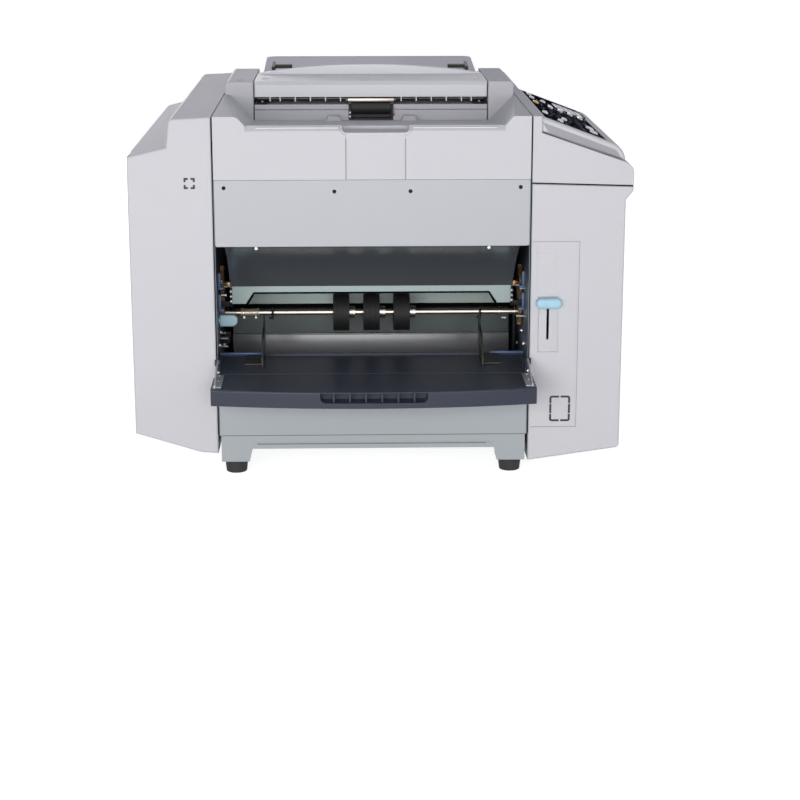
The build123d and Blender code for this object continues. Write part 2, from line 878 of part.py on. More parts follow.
def feed_chute():
    """Stepped inner plates behind the rollers, up which the sheet is fed."""
    half = chute_width / 2
    y = chute_y
    line = [
        (y, lower_panel_top - chute_foot), (y, chute_low_top), (y + chute_step, chute_low_top),
        (y + chute_step, chute_mid_top), (y + 2 * chute_step, chute_mid_top + chute_step),
        (y + 2 * chute_step, chute_high_top),
    ]
    back = [(py + sheet, pz - sheet) for py, pz in line[1:-1]]
    outline = line + [(line[-1][0] + sheet, line[-1][1])] + back[::-1] + [(y + sheet, line[0][1])]
    chute = side_prism(outline, -half, half)
    reach = frame_inner - hair_gap
    chute += box(-reach, reach, y, y + sheet, lower_panel_top - 30, lower_panel_top - 5)
    return chute


def spur_gear(teeth, width, turn):
    """A spur gear on Z with straight-flanked teeth; turn places its first tooth."""
    pitch_radius = teeth * gear_module / 2
    root = pitch_radius - 1.25 * gear_module
    tip = pitch_radius + 0.9 * gear_module
    step = 2 * math.pi / teeth
    points = []
    for n in range(teeth):
        middle = n * step + math.radians(turn)
        for radius, share in ((root, -0.34), (tip, -0.13), (tip, 0.13), (root, 0.34)):
            angle = middle + share * step
            points.append((radius * math.cos(angle), radius * math.sin(angle)))
    return extrude(make_face(Polyline(*points, close=True)), width)


def drive_gear_distance():
    return (feed_gear_teeth + drive_gear_teeth) * gear_module / 2 + gear_backlash


def drive_gear_y():
    return feed_shaft_y


def drive_gear_z():
    return feed_shaft_z + drive_gear_distance()


def gear_on_x(teeth, y, z, x0, turn):
    """A spur gear whose axis lies along X, from x0."""
    return Pos(x0, y, z) * Rot(0, 90, 0) * spur_gear(teeth, gear_width, turn)


def gear_sides():
    inner = frame_inner - gear_side_gap - gear_width
    return (inner, -inner - gear_width)


def feed_gears():
    """A brass gear at each end of the feed shaft."""
    gears = []
    for x0 in gear_sides():
        gear = gear_on_x(feed_gear_teeth, feed_shaft_y, feed_shaft_z, x0, 0)
        gears.append(gear - rod_x(feed_shaft_y, feed_shaft_z, feed_shaft_radius, x0 - 1, x0 + gear_width + 1))
    return gears


def drive_gears():
    """Drive gears above the feed gears, on their own cross shaft."""
    y = drive_gear_y()
    z = drive_gear_z()
    turn = 180.0 / drive_gear_teeth
    train = rod_x(y, z, feed_shaft_radius, -frame_outer - 4, frame_outer + 4)
    for x0 in gear_sides():
        train += gear_on_x(drive_gear_teeth, y, z, x0, turn)
    return train


def feed_shaft():
    """Bright feed shaft with its sleeve and a collar beside each roller."""
    reach = frame_outer + 5
    shaft = rod_x(feed_shaft_y, feed_shaft_z, feed_shaft_radius, -reach, reach)
    shaft += rod_x(feed_shaft_y, feed_shaft_z, sleeve_radius,
                   sleeve_x - sleeve_length / 2, sleeve_x + sleeve_length / 2)
    for n in (-1, 0, 1):
        x = n * feed_roller_pitch + feed_roller_width / 2
        shaft += rod_x(feed_shaft_y, feed_shaft_z, collar_radius, x, x + collar_width)
    return shaft


def feed_rollers():
    """Three black rubber feed rollers on the shaft."""
    rollers = []
    for n in (-1, 0, 1):
        x = n * feed_roller_pitch
        half = feed_roller_width / 2
        roller = rod_x(feed_shaft_y, feed_shaft_z, feed_roller_radius, x - half, x + half)
        roller -= rod_x(feed_shaft_y, feed_shaft_z, feed_shaft_radius, x - half - 1, x + half + 1)
        rollers.append(roller)
    return rollers


def feed_lever():
    """Blue lever on the left side frame: a flat capsule that points into the bay."""
    root = -frame_inner + 1
    tip = root + lever_length
    half = lever_height / 2
    lever = box(root, tip - half, lever_y - lever_depth / 2, lever_y + lever_depth / 2,
                lever_z - half, lever_z + half)
    lever += rod_y(tip - half, lever_z, half, lever_y - lever_depth / 2, lever_y + lever_depth / 2)
    lever = fillet(lever.faces().sort_by(Axis.Y)[0].edges(), 2.5)
    lever += rod_x(lever_y, lever_z, lever_pin_radius, -frame_outer - 4, root + 2)
    return lever


def tray_plate():
    """Inner tray plate that rises and sinks, with side ears along the frames and front pivot brackets."""
    half = half_bay - seam
    wide = frame_inner - seam
    low = tray_top - tray_plate_thickness
    plate = box(-half, half, 1.0, tray_plate_back, low, tray_top)
    plate += box(-wide, wide, cover_wall + sheet + seam, tray_plate_back, low, tray_top)
    plate += box(-wide, wide, tray_plate_back - 3, tray_plate_back, low, tray_top + 3)
    for side in (-1, 1):
        e0, e1 = sorted((side * (half - 6), side * (frame_inner - hair_gap)))
        plate += box(e0, e1, tray_ear_start, tray_ear_start + tray_ear_size, low - tray_ear_size, low)
        b0, b1 = sorted((side * half, side * (half - sheet)))
        cheek = [
            (pivot_y - 4, pivot_z), (pivot_y - 4, pivot_z + 3), (pivot_y, pivot_z + 5), (40, tray_top + 6),
            (40, low), (2, low), (pivot_y, pivot_z - 5),
        ]
        plate += side_prism(cheek, b0, b1)
        p0, p1 = sorted((side * half, side * (half + arm_thickness + 2.5)))
        plate += rod_x(pivot_y, pivot_z, pivot_radius, p0, p1)
        h0, h1 = sorted((side * (half + arm_thickness + 1.2), side * (half + arm_thickness + 3.2)))
        plate += rod_x(pivot_y, pivot_z, pivot_head_radius, h0, h1)
    return plate


def tray_outline(shrink):
    """Plan of the feed tray: narrow at the bay, wide and bowed at its lip."""
    lip = tray_lip_width / 2 - shrink
    neck = half_bay - 4.2 - shrink
    back = -1.0 - shrink
    side = -tray_side_y + shrink
    middle = tray_front + shrink
    path = Line((-neck, back), (neck, back))
    path += Line((neck, back), (neck, -16.0))
    path += Line((neck, -16.0), (lip, -20.0))
    path += Line((lip, -20.0), (lip, side))
    path += ThreePointArc((lip, side), (0, middle), (-lip, side))
    path += Line((-lip, side), (-lip, -20.0))
    path += Line((-lip, -20.0), (-neck, -16.0))
    path += Line((-neck, -16.0), (-neck, back))
    return make_face(path)


def feed_tray():
    """Folding feed tray: thin top, deep curved lip with a ribbed grip, skirts and stiffening ribs."""
    low = tray_top - tray_lip_height
    reach = tray_lip_width / 2
    tray = extrude(Pos(0, 0, low) * tray_outline(0), tray_lip_height)
    tray = fillet(tray.faces().sort_by(Axis.Z)[-1].edges().sort_by(Axis.Y)[0], scoop_wall)
    tray -= extrude(Pos(0, 0, low - 1) * tray_outline(cover_wall), tray_lip_height + 1 - tray_plate_thickness)
    slanted = [(-60, low - 1), (-20, tray_top - 8), (5, tray_top - 8), (5, low - 1)]
    tray -= side_prism(slanted, -reach, reach)
    half = tray_grip_width / 2
    grip_low = tray_top - tray_grip_height
    grip_high = tray_top - tray_grip_cover
    back = tray_front + tray_grip_depth
    tray += box(-half - 2, half + 2, tray_front + 4, back + 2, grip_low - 2, tray_top - 1)
    pocket = box(-half, half, tray_front - 9, back, grip_low, grip_high)
    tray -= fillet(edges_along(pocket, Axis.Y, z=(grip_low, grip_low)), tray_grip_corner)
    for n in range(tray_rib_count):
        x = (n - (tray_rib_count - 1) / 2) * tray_rib_pitch
        tray += box(x - tray_rib_thickness / 2, x + tray_rib_thickness / 2, tray_front + tray_rib_start, back,
                    grip_low, grip_high)
    return tray


def tray_arms():
    """Steel side arms of the feed tray, tall at the pivots and low at the lip."""
    arms = []
    half = half_bay - 1.5
    for side in (-1, 1):
        x0, x1 = sorted((side * (half + hair_gap), side * (half + hair_gap + arm_thickness)))
        outline = [
            (pivot_y + 3.5, pivot_z), (pivot_y, pivot_z + 4.2), (-tray_side_y + 6, tray_top + 4),
            (-tray_side_y + 6, tray_top), (-22, tray_top), (pivot_y + 2, pivot_z - 4),
        ]
        arm = side_prism(outline, x0, x1)
        arms.append(arm - rod_x(pivot_y, pivot_z, pivot_radius + bore_clearance, x0 - 1, x1 + 1))
    return arms


def paper_guide(side):
    """Black paper guide: an upright fence with a raised rear tip and a foot that slides on the plate."""
    inner = paper_width / 2 + 0.5
    x0, x1 = sorted((side * inner, side * (inner + 2.5)))
    low = tray_top + hair_gap
    high = tray_top + paper_guide_height
    back = paper_guide_back
    outline = [
        (paper_guide_front, low), (back - 3.5, low), (back - 3.5, low + 5),
        (back + paper_guide_reach, low + 14),
        (back + paper_guide_reach, high), (back + paper_guide_reach - 4, high), (back, high - 14),
        (paper_guide_front + 20, high - 20), (paper_guide_front, low + 12),
    ]
    guide = side_prism(outline, x0, x1)
    f0, f1 = sorted((side * inner, side * (inner + 26)))
    guide += box(f0, f1, paper_guide_front + 8, back - 8, low, low + 2.5)
    return guide


def rear_top_cover():
    """Rear top moulding: raised shoulders beside the original feeder, and the deck behind it."""
    half = cover_half
    y0 = rail_length + hair_gap
    low = plate_top + cover_overlap
    well_left = feeder_centre - feeder_width / 2 - seam
    well_right = feeder_centre + feeder_width / 2 + seam
    wall = cover_wall
    fall = rear_y - shoulder_fall
    cover = box(-half, half, y0, rear_y, low, shoulder_top)
    cover = fillet(edges_along(cover, Axis.Y, z=(shoulder_top, shoulder_top)), shoulder_top_round)
    cover -= side_prism([(fall, shoulder_top + 1), (fall, shoulder_top), (rear_y + 1, low + rear_lip_height),
                         (rear_y + 1, shoulder_top + 1)], -half - 1, half + 1)
    cover -= box(well_left, well_right, y0 - 1, lid_open_deck, low - 1, shoulder_top + 1)
    cover -= box(well_left, well_right, lid_open_deck - 1, rear_y + 1, deck_height, shoulder_top + 1)
    fronts = cover.faces().sort_by(Axis.Y)
    cover = fillet(fronts[0].edges() + fronts[1].edges(), 2)
    inner_fall = rear_y - 90
    inner = [(lid_open_deck + wall, low - 1), (lid_open_deck + wall, deck_height - wall),
             (inner_fall, deck_height - wall), (rear_y - wall, low + 50), (rear_y - wall, low - 1)]
    cover -= side_prism(inner, -half + wall, half - wall)
    for x0, x1 in ((-half + wall, well_left - wall), (well_right + wall, half - wall)):
        under = [(y0 + wall, low - 1), (y0 + wall, shoulder_top - 8), (fall - wall, shoulder_top - 8),
                 (inner_fall, deck_height - wall - 6), (inner_fall, low - 1)]
        cover -= side_prism(under, x0, x1)
    y, z = lid_pin()
    for start, end in ((well_left - wall - 1, well_left + 1), (well_right - 1, well_right + wall + 1)):
        cover -= rod_x(y, z, lid_pin_radius + bore_clearance, start, end)
    for x in ((well_left - half) / 2, (well_right + half) / 2):
        cover += stop_pad(x, y0 + stop_pad_inset)
    return cover + tray_hinge()


def stop_pad(x, y):
    """A small round stop on top of the shoulders or the lid."""
    pad = Cone(stop_pad_radius, stop_pad_radius - stop_pad_height, stop_pad_height + 1,
               align=(Align.CENTER, Align.CENTER, Align.MIN))
    return Pos(x, y, shoulder_top - 1) * pad


def feeder_edges():
    return (feeder_centre - feeder_width / 2, feeder_centre + feeder_width / 2)


def feeder_bed():
    """Lower part of the original feeder: stepped front, open inside, with the roller's pocket."""
    x0, x1 = feeder_edges()
    y0 = rail_length + hair_gap
    y1 = lid_open_deck - hair_gap
    bed = box(x0, x1, y0, y1, bed_bottom, bed_step)
    bed += box(x0, x1, y0 + 2, y1, bed_bottom, bed_top)
    bed -= box(x0 - 1, x1 + 1, y0 - 1, y0 + 5, bed_step - 1.5 * bed_groove, bed_step - 0.5 * bed_groove)
    bed -= box(x0 + cover_wall, x1 - cover_wall, y0 + 30, y1 - cover_wall,
               bed_bottom - 1, bed_top - cover_wall)
    half = original_roller_length / 2 + roller_frame_wall + 1
    bed -= box(feeder_centre - half, feeder_centre + half, y0 - 1, y0 + 22, bed_bottom + 6, bed_top + 1)
    return bed


def original_roller_place():
    return (rail_length + 5.5, bed_step + 1.0)


def original_roller():
    """Black rubber original feed roller on its thin axle."""
    y, z = original_roller_place()
    half = original_roller_length / 2
    roller = rod_x(y, z, original_roller_radius, feeder_centre - half, feeder_centre + half)
    roller += rod_x(y, z, original_axle_radius, feeder_centre - half - 3.5, feeder_centre + half + 3.5)
    return roller


def roller_frame():
    """Black bearing frame round the original roller: a back wall, a sill and two bored cheeks."""
    y, z = original_roller_place()
    half = original_roller_length / 2
    wall = roller_frame_wall
    y0 = rail_length + hair_gap
    low = bed_bottom + 6
    reach = half + wall + 1
    frame = box(feeder_centre - reach, feeder_centre + reach, y0 + 17, y0 + 22, low, bed_top - 1)
    frame += box(feeder_centre - reach, feeder_centre + reach, y0, y0 + 17, low, low + wall)
    for side in (-1, 1):
        x0, x1 = sorted((feeder_centre + side * (half + 1), feeder_centre + side * reach))
        cheek = box(x0, x1, y0, y0 + 17, low, bed_top - 1)
        frame += cheek - rod_x(y, z, original_axle_radius + bore_clearance, x0 - 1, x1 + 1)
    return frame


def feeder_lid():
    """Moulded feeder lid: light front face, gently sloped top and an arched ridge at the back."""
    x0, x1 = feeder_edges()
    y0 = rail_length + 1
    y1 = y0 + feeder_length
    top = shoulder_top
    outline = [(y0, lid_bottom), (y0, top - lid_nose), (y0 + lid_nose, top), (y1, top), (y1, lid_bottom)]
    lid = side_prism(outline, x0, x1)
    ridge_y = y1 - ridge_depth
    left = x0 + 4
    right = x1 - 4
    end = top + ridge_end_height
    arch = Line((left, ridge_y, top - 2), (left, ridge_y, end))
    crown = (feeder_centre, ridge_y, top + ridge_height)
    arch += ThreePointArc((left, ridge_y, end), crown, (right, ridge_y, end))
    arch += Line((right, ridge_y, end), (right, ridge_y, top - 2))
    arch += Line((right, ridge_y, top - 2), (left, ridge_y, top - 2))
    lid += extrude(make_face(arch), ridge_depth, dir=(0, 1, 0))
    lid = fillet(edges_along(lid, Axis.Z, x=(x0, x0)) + edges_along(lid, Axis.Z, x=(x1, x1)), 3)
    lid -= box(x0 + cover_wall, x1 - cover_wall, y0 + cover_wall, y1 - cover_wall,
               lid_bottom - 1, top - cover_wall - 3)
    for x in (x0 + stop_pad_inset / 2, feeder_centre, x1 - stop_pad_inset / 2):
        lid += stop_pad(x, y0 + 2 * stop_pad_inset)
    y, z = lid_pin()
    for start, end in ((x0 - seam - cover_wall + 0.5, x0 + 2), (x1 - 2, x1 + seam + cover_wall - 0.5)):
        lid += rod_x(y, z, lid_pin_radius, start, end)
    return lid


def lid_pin():
    """Axis of the lid's two pins, in the inner walls of the shoulders."""
    return (rail_length + 1 + feeder_length - 5, lid_pin_height)


def feed_ribs():
    """White guide ribs that hang from the lid above the original's path, and the strip that holds them."""
    y0 = rail_length + 1 + cover_wall
    top = shoulder_top - cover_wall - 3
    x0, x1 = feeder_edges()
    strip = box(x0 + cover_wall, x1 - cover_wall, y0, y0 + 40, lid_bottom + 1, lid_bottom + 3)
    strip += box(x0 + cover_wall, x1 - cover_wall, y0 + 38, y0 + 40, lid_bottom + 1, top)
    places = [rib_first + n * rib_pitch for n in range(rib_count)]
    places.append(places[-1] + 0.66 * rib_pitch)
    for place in places:
        for side in (-1, 1):
            x = feeder_centre + side * place
            rib = box(x - rib_thickness / 2, x + rib_thickness / 2, y0, y0 + 34, rib_bottom, lid_bottom + 1)
            strip += rib
    y, z = feeder_shaft_place()
    return strip - rod_x(y, z, feeder_shaft_radius + bore_clearance, x0, x1)


def feeder_shaft_place():
    return (rail_length + 12, (rib_bottom + lid_bottom) / 2)


def feeder_shaft():
    """Thin bright exit shaft below the lid, with the flat bar above the roller."""
    x0, x1 = feeder_edges()
    y, z = feeder_shaft_place()
    shaft = rod_x(y, z, feeder_shaft_radius, x0 + cover_wall, x1 - cover_wall)
    shaft += box(feeder_centre - 36, feeder_centre + 36, y - 10, y - 8, z - 2, z)
    shaft += box(feeder_centre - 36, feeder_centre - 34, y - 10, y, z - 2, z)
    shaft += box(feeder_centre + 34, feeder_centre + 36, y - 10, y, z - 2, z)
    return shaft


def original_tray_frame():
    """The original tray's own frame: origin at its front edge, tilted up to the back."""
    return Pos(feeder_centre + 1, lid_open_deck + 5, original_tray_height) * Rot(original_tray_slope, 0, 0)


def original_tray():
    """Rear original tray: a thin plate with a turned-down end, hinge eyes and slots for the guides."""
    half = original_tray_width / 2
    length = original_tray_length
    plate = box(-half, half, original_tray_start, length, -original_tray_thickness, 0)
    plate = fillet(edges_along(plate, Axis.Z, y=(length, length)), original_tray_corner)
    rim = original_tray_corner
    plate += box(-half + rim, half - rim, length - 3, length, -9, -1)
    for side in (-1, 1):
        inner = half - original_guide_inset - original_guide_travel - 5
        x0, x1 = sorted((side * inner, side * (half - 8)))
        plate -= box(x0, x1, original_slot_start, original_slot_start + original_slot_width, -9, 1)
    tray = original_tray_frame() * plate
    y, z = original_tray_pin()
    for x in original_hinges():
        tray += hinge_eye(x, y, z, original_eye_half)
        tray += box(x - original_eye_half, x + original_eye_half, y, y + 9, z - 1, z + 3)
        tray -= eye_bore(x, y, z, original_eye_half)
    return tray


def original_hinges():
    """Where the original tray's two hinges lie across the machine."""
    reach = original_tray_width / 2 - 22
    return (feeder_centre + 1 - reach, feeder_centre + 1 + reach)


def hinge_eye(x, y, z, half):
    """The round part of a hinge eye along X."""
    return rod_x(y, z, hinge_pin_radius + hinge_wall, x - half, x + half)


def eye_bore(x, y, z, half):
    """The bore of a hinge eye, with its running clearance."""
    return rod_x(y, z, hinge_pin_radius + bore_clearance, x - half - 1, x + half + 1)


def hinge_pin(x, y, z, eye_half, y0, y1, z0, z1):
    """A pin along X with a lug on each side of its eye; the lugs fill the box given in Y and Z."""
    reach = eye_half + hair_gap + lug_width
    pin = rod_x(y, z, hinge_pin_radius, x - reach, x + reach)
    pin += box(x - reach, x - reach + lug_width, y0, y1, z0, z1)
    pin += box(x + reach - lug_width, x + reach, y0, y1, z0, z1)
    return pin


def original_tray_pin():
    return (lid_open_deck + 6.5, original_tray_height - 4)


def tray_hinge():
    """Hinge lugs and pins on the rear deck that carry the original tray."""
    y, z = original_tray_pin()
    places = original_hinges()
    return [hinge_pin(x, y, z, original_eye_half, y - 4, y + 4, deck_height, z + 4) for x in places]


def original_guide(side):
    """Black width guide: a low fence with an arm towards the middle, sliding on the tray."""
    x = side * (original_tray_width / 2 - original_guide_inset)
    x0, x1 = sorted((x, x + side * 4.5))
    start = original_guide_start
    slot = original_slot_start
    guide = box(x0, x1, start, start + original_guide_length, hair_gap, original_guide_height)
    a0, a1 = sorted((x - side * original_guide_arm, x + side * 2))
    guide += box(a0, a1, slot - 2.5, slot + 5.5, original_guide_height - 5, original_guide_height)
    foot0, foot1 = sorted((x - side * 1.2, x + side * 1.2))
    guide += box(foot0, foot1, slot + 0.4, slot + original_slot_width - 0.4, -original_tray_thickness - 2, 1)
    return original_tray_frame() * guide


def press_roller_z():
    return drum_z - drum_radius - press_roller_radius - hair_gap


def print_drum():
    """Hollow print drum with end discs on its shaft."""
    half = drum_length / 2
    drum = rod_x(drum_y, drum_z, drum_radius, -half, half)
    drum -= rod_x(drum_y, drum_z, drum_radius - drum_wall, -half + 5, half - 5)
    drum += rod_x(drum_y, drum_z, drum_shaft_radius, -frame_outer - 3, frame_outer + 3)
    return drum


def press_roller():
    """Rubber press roller below the drum."""
    z = press_roller_z()
    half = drum_length / 2
    roller = rod_x(drum_y, z, press_roller_radius, -half, half)
    roller += rod_x(drum_y, z, press_shaft_radius, -frame_outer - 3, frame_outer + 3)
    return roller


def side_door():
    """Door over the print drum on the right side, with a finger pull and two hinge barrels."""
    outer = right_outer
    wall = cover_wall
    door = box(outer - wall, outer, door_front + seam, door_back - seam, door_bottom + seam, door_top - seam)
    door = fillet(edges_along(door, Axis.X), 2)
    y0, y1, z0, z1 = door_pull()
    rim = 2.0
    door += box(outer - pull_depth - rim, outer - 1, y0 - rim, y1 + rim, z0 - rim, z1 + rim)
    door -= box(outer - pull_depth, outer + 1, y0, y1, z0, z1)
    x, y = door_pin()
    barrel = hinge_pin_radius + 1
    for z in door_hinge_heights():
        door -= box(x - barrel - 1, x + barrel + 1, y - barrel - hair_gap, door_back, z - 17, z + 17)
        door += Pos(x, y, z) * Cylinder(barrel, 20)
        door += box(x - wall / 2, x + wall / 2, y - barrel - 1, y, z - 10, z + 10)
        door -= Pos(x, y, z) * Cylinder(hinge_pin_radius - 1 + bore_clearance, 22)
    return door


def door_pull():
    """The finger pull's room in the door: its limits along the machine and in height."""
    start = door_front + 14
    middle = (door_bottom + door_top) / 2
    return (start, start + pull_width, middle - pull_height / 2, middle + pull_height / 2)


def door_pin():
    return (right_outer - cover_wall / 2, door_back - hinge_pin_radius - 2.5)


def door_hinge_heights():
    return (door_bottom + 40, door_top - 40)


def door_hinges():
    """Two hinge pins in barrels on the right cover, which carry the side door."""
    x, y = door_pin()
    barrel = hinge_pin_radius + 1
    hinges = Pos(x, y, door_hinge_heights()[0]) * Cylinder(hinge_pin_radius - 1, 32)
    hinges += Pos(x, y, door_hinge_heights()[1]) * Cylinder(hinge_pin_radius - 1, 32)
    for z in door_hinge_heights():
        for low in (z - 16, z + 10 + hair_gap):
            hinges += Pos(x, y, low + 3 - hair_gap / 2) * Cylinder(barrel, 6 - hair_gap)
            hinges += box(x - cover_wall / 2, x + cover_wall / 2, y, door_back + 1, low, low + 6 - hair_gap)
    return hinges


def rear_cover():
    """Rear cover with the printed sheet's exit, ribbed vents and openings for the inlet and the switch."""
    half = cover_half + seam - hair_gap
    top = plate_top - 1
    front = rear_y - cover_wall - 1
    cover = box(-half, half, rear_y - cover_wall, rear_y, base_top + hair_gap, top)
    cover -= box(-exit_width / 2, exit_width / 2, front, rear_y + 1, exit_bottom, exit_top)
    for n in range(vent_count):
        z = top - 30 - n * rear_vent_pitch
        cover -= box(rear_vent_left, rear_vent_right, front, rear_y + 1, z, z + rear_vent_height)
    x, z = inlet_place()
    w = inlet_width / 2
    h = inlet_height / 2
    cover -= box(x - w, x + w, front, rear_y + 1, z - h, z + h)
    x, z = switch_place()
    w = switch_width / 2 + 2
    h = switch_height / 2 + 2
    cover -= box(x - w, x + w, front, rear_y + 1, z - h, z + h)
    return cover + receiving_hinges()


def inlet_place():
    return (half_bay - 36, top_of_rear() - 40)


def switch_place():
    return (half_bay - 70, top_of_rear() - 40)


def top_of_rear():
    return plate_top - 1


def inlet_socket():
    """Power inlet socket with three blades in its cup."""
    x, z = inlet_place()
    w = inlet_width / 2 - hair_gap
    h = inlet_height / 2 - hair_gap
    body = box(x - w, x + w, rear_y - 22, rear_y + 1, z - h, z + h)
    body = fillet(edges_along(body, Axis.Y), 4)
    body -= box(x - w + 2.5, x + w - 2.5, rear_y - 16, rear_y + 2, z - h + 2.5, z + h - 2.5)
    for dx, dz in ((-7, -2), (0, 2), (7, -2)):
        body += box(x + dx - 1, x + dx + 1, rear_y - 18, rear_y - 4, z + dz - 2, z + dz + 2)
    return body


def switch_frame():
    """Black frame of the rocker switch."""
    x, z = switch_place()
    w = switch_width / 2
    h = switch_height / 2
    frame = box(x - w - 1.7, x + w + 1.7, rear_y - 14, rear_y + 1, z - h - 1.7, z + h + 1.7)
    frame -= box(x - w, x + w, rear_y - 12, rear_y + 2, z - h, z + h)
    for side in (-1, 1):
        frame += rod_x(rear_y - 5, z, 1.5, *sorted((x + side * (w - 1.5), x + side * (w + 1))))
    return frame


def power_inlet():
    """Inlet module: the socket, and the switch's frame beside it, joined behind the cover."""
    x0 = switch_place()[0] + switch_width / 2
    x1 = inlet_place()[0] - inlet_width / 2
    z = inlet_place()[1]
    bridge = box(x0, x1 + 2, rear_y - 14, rear_y - 8, z - 6, z + 6)
    return inlet_socket() + switch_frame() + bridge


def power_switch():
    """Rocker of the power switch, tipped to its off side."""
    x, z = switch_place()
    w = switch_width / 2 - hair_gap
    h = switch_height / 2 - 0.8
    y = rear_y - 5
    outline = [(y - 4, z - h + 2), (y + 4, z - h), (y + 3, z), (y + 6.5, z + h), (y - 3, z + h - 1)]
    rocker = side_prism(outline, x - w, x + w)
    return rocker - rod_x(y, z, 1.5 + bore_clearance, x - w - 1, x + w + 1)


def receiving_tray():
    """Receiving tray, folded up against the back: a thin ribbed plate with a turned rim and hinge eyes."""
    half = receiving_width / 2
    y = receiving_y
    back = y + receiving_thickness
    low = receiving_bottom
    high = low + receiving_height
    border = receiving_border
    tray = box(-half, half, y, back, low, high)
    tray = fillet(edges_along(tray, Axis.Y, z=(high, high)), receiving_corner)
    tray -= box(-half + 3, half - 3, y - 1, back - 3, low + border, high - border)
    for n in range(receiving_rib_count):
        x = (n - (receiving_rib_count - 1) / 2) * receiving_rib_pitch
        tray += box(x - 1.5, x + 1.5, y + 3, back - 1, low + border - 1, high - border + 1)
    pin_y, pin_z = receiving_pin()
    eye = receiving_eye_half
    for x in receiving_hinge_places():
        tray -= box(x - 1.5 * eye, x + 1.5 * eye, y - 1, back + 1, low - 1, low + border - 1)
        tray += hinge_eye(x, pin_y, pin_z, eye)
        tray += box(x - eye, x + eye, pin_y - 2, pin_y + 5, pin_z, low + border + 1)
        tray -= eye_bore(x, pin_y, pin_z, eye)
    return tray


def receiving_hinge_places():
    reach = receiving_width / 2 - receiving_hinge_inset
    return (-reach, reach)


def receiving_pin():
    return (receiving_y + 4, receiving_bottom + 5)


def receiving_hinges():
    """Hinge lugs and pins low on the back that carry the receiving tray."""
    y, z = receiving_pin()
    places = receiving_hinge_places()
    return [hinge_pin(x, y, z, receiving_eye_half, rear_y, y + 4, z - 5, z + 5) for x in places]


def save(name, shape):
    """Write one piece, moved so that the origin lies below the middle of the whole machine."""
    solids = shape if isinstance(shape, list) else [shape]
    moved = [Pos(-centre_x, -centre_y, 0) * solid for solid in solids]
    piece = Compound(children=moved) if len(moved) > 1 else moved[0]
    export_step(piece, f"parts/{name}.step")


pieces = {
    "rubber_feet": rubber_feet(),
    "base_frame": base_frame(),
    "side_frame_left": side_frame(-1),
    "side_frame_right": side_frame(1),
    "left_cover": left_cover(),
    "right_cover": right_cover(),
    "upper_right_cover": upper_right_cover(),
    "rear_cover": rear_cover(),
    "rear_top_cover": rear_top_cover(),
    "upper_front_cover": upper_front_cover(),
    "grip_panel": grip_panel(),
    "front_plate": front_plate(),
    "plate_screws": plate_screws(),
    "edge_studs": edge_studs(),
    "lower_panel": lower_panel(),
    "guide_plate": guide_plate(),
    "cross_bracket": cross_bracket(),
    "feed_chute": feed_chute(),
    "feed_shaft": feed_shaft(),
    "feed_rollers": feed_rollers(),
    "feed_gears": feed_gears(),
    "drive_gears": drive_gears(),
    "feed_lever": feed_lever(),
    "tray_plate": tray_plate(),
    "feed_tray": feed_tray(),
    "tray_arms": tray_arms(),
    "paper_guide_left": paper_guide(-1),
    "paper_guide_right": paper_guide(1),
    "pressure_knob": pressure_knob(),
    "control_panel": control_panel(),
    "panel_membrane": panel_membrane(),
    "display_window": display_window(),
    "feeder_bed": feeder_bed(),
    "roller_frame": roller_frame(),
    "original_roller": original_roller(),
    "feeder_lid": feeder_lid(),
    "feed_ribs": feed_ribs(),
    "feeder_shaft": feeder_shaft(),
    "original_tray": original_tray(),
    "original_guide_left": original_guide(-1),
    "original_guide_right": original_guide(1),
    "print_drum": print_drum(),
    "press_roller": press_roller(),
    "side_door": side_door(),
    "receiving_tray": receiving_tray(),
    "power_inlet": power_inlet(),
    "power_switch": power_switch(),
}
for name, x, y, width, length in key_table():
    pieces[name] = panel_key(x, y, width, length)

os.makedirs("parts", exist_ok=True)
for name, shape in pieces.items():
    save(name, shape)
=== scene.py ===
import math

import bmesh
import bpy
from mathutils import Matrix, Vector


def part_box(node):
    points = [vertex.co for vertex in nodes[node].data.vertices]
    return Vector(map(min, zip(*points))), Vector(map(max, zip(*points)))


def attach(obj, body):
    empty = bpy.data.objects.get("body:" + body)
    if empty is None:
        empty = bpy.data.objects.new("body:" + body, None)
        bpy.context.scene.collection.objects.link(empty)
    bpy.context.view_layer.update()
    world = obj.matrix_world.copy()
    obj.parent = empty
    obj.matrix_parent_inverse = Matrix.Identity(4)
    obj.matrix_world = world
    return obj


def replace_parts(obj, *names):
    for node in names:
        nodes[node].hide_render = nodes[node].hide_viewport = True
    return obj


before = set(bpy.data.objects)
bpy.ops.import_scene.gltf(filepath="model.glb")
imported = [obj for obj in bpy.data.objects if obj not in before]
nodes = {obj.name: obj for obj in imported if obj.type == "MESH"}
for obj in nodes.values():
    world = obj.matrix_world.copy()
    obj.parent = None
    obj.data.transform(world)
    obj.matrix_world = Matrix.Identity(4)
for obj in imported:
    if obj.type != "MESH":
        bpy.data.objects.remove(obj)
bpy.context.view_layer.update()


# Base frame and feet
# Folded steel base, coated greenish grey, on four round rubber feet that are pushed into its leg boxes.
# The coat is a satin powder with a faint orange peel; the rubber is matt and a little dusty.

def new_material(name, colour, roughness, metallic=0.0):
    """A material with its node tree and its principled shader, for more nodes in front of it."""
    material = bpy.data.materials.new(name)
    material.use_nodes = True
    shader = material.node_tree.nodes["Principled BSDF"]
    shader.inputs["Base Color"].default_value = (*colour, 1.0)
    shader.inputs["Roughness"].default_value = roughness
    shader.inputs["Metallic"].default_value = metallic
    return material, material.node_tree, shader


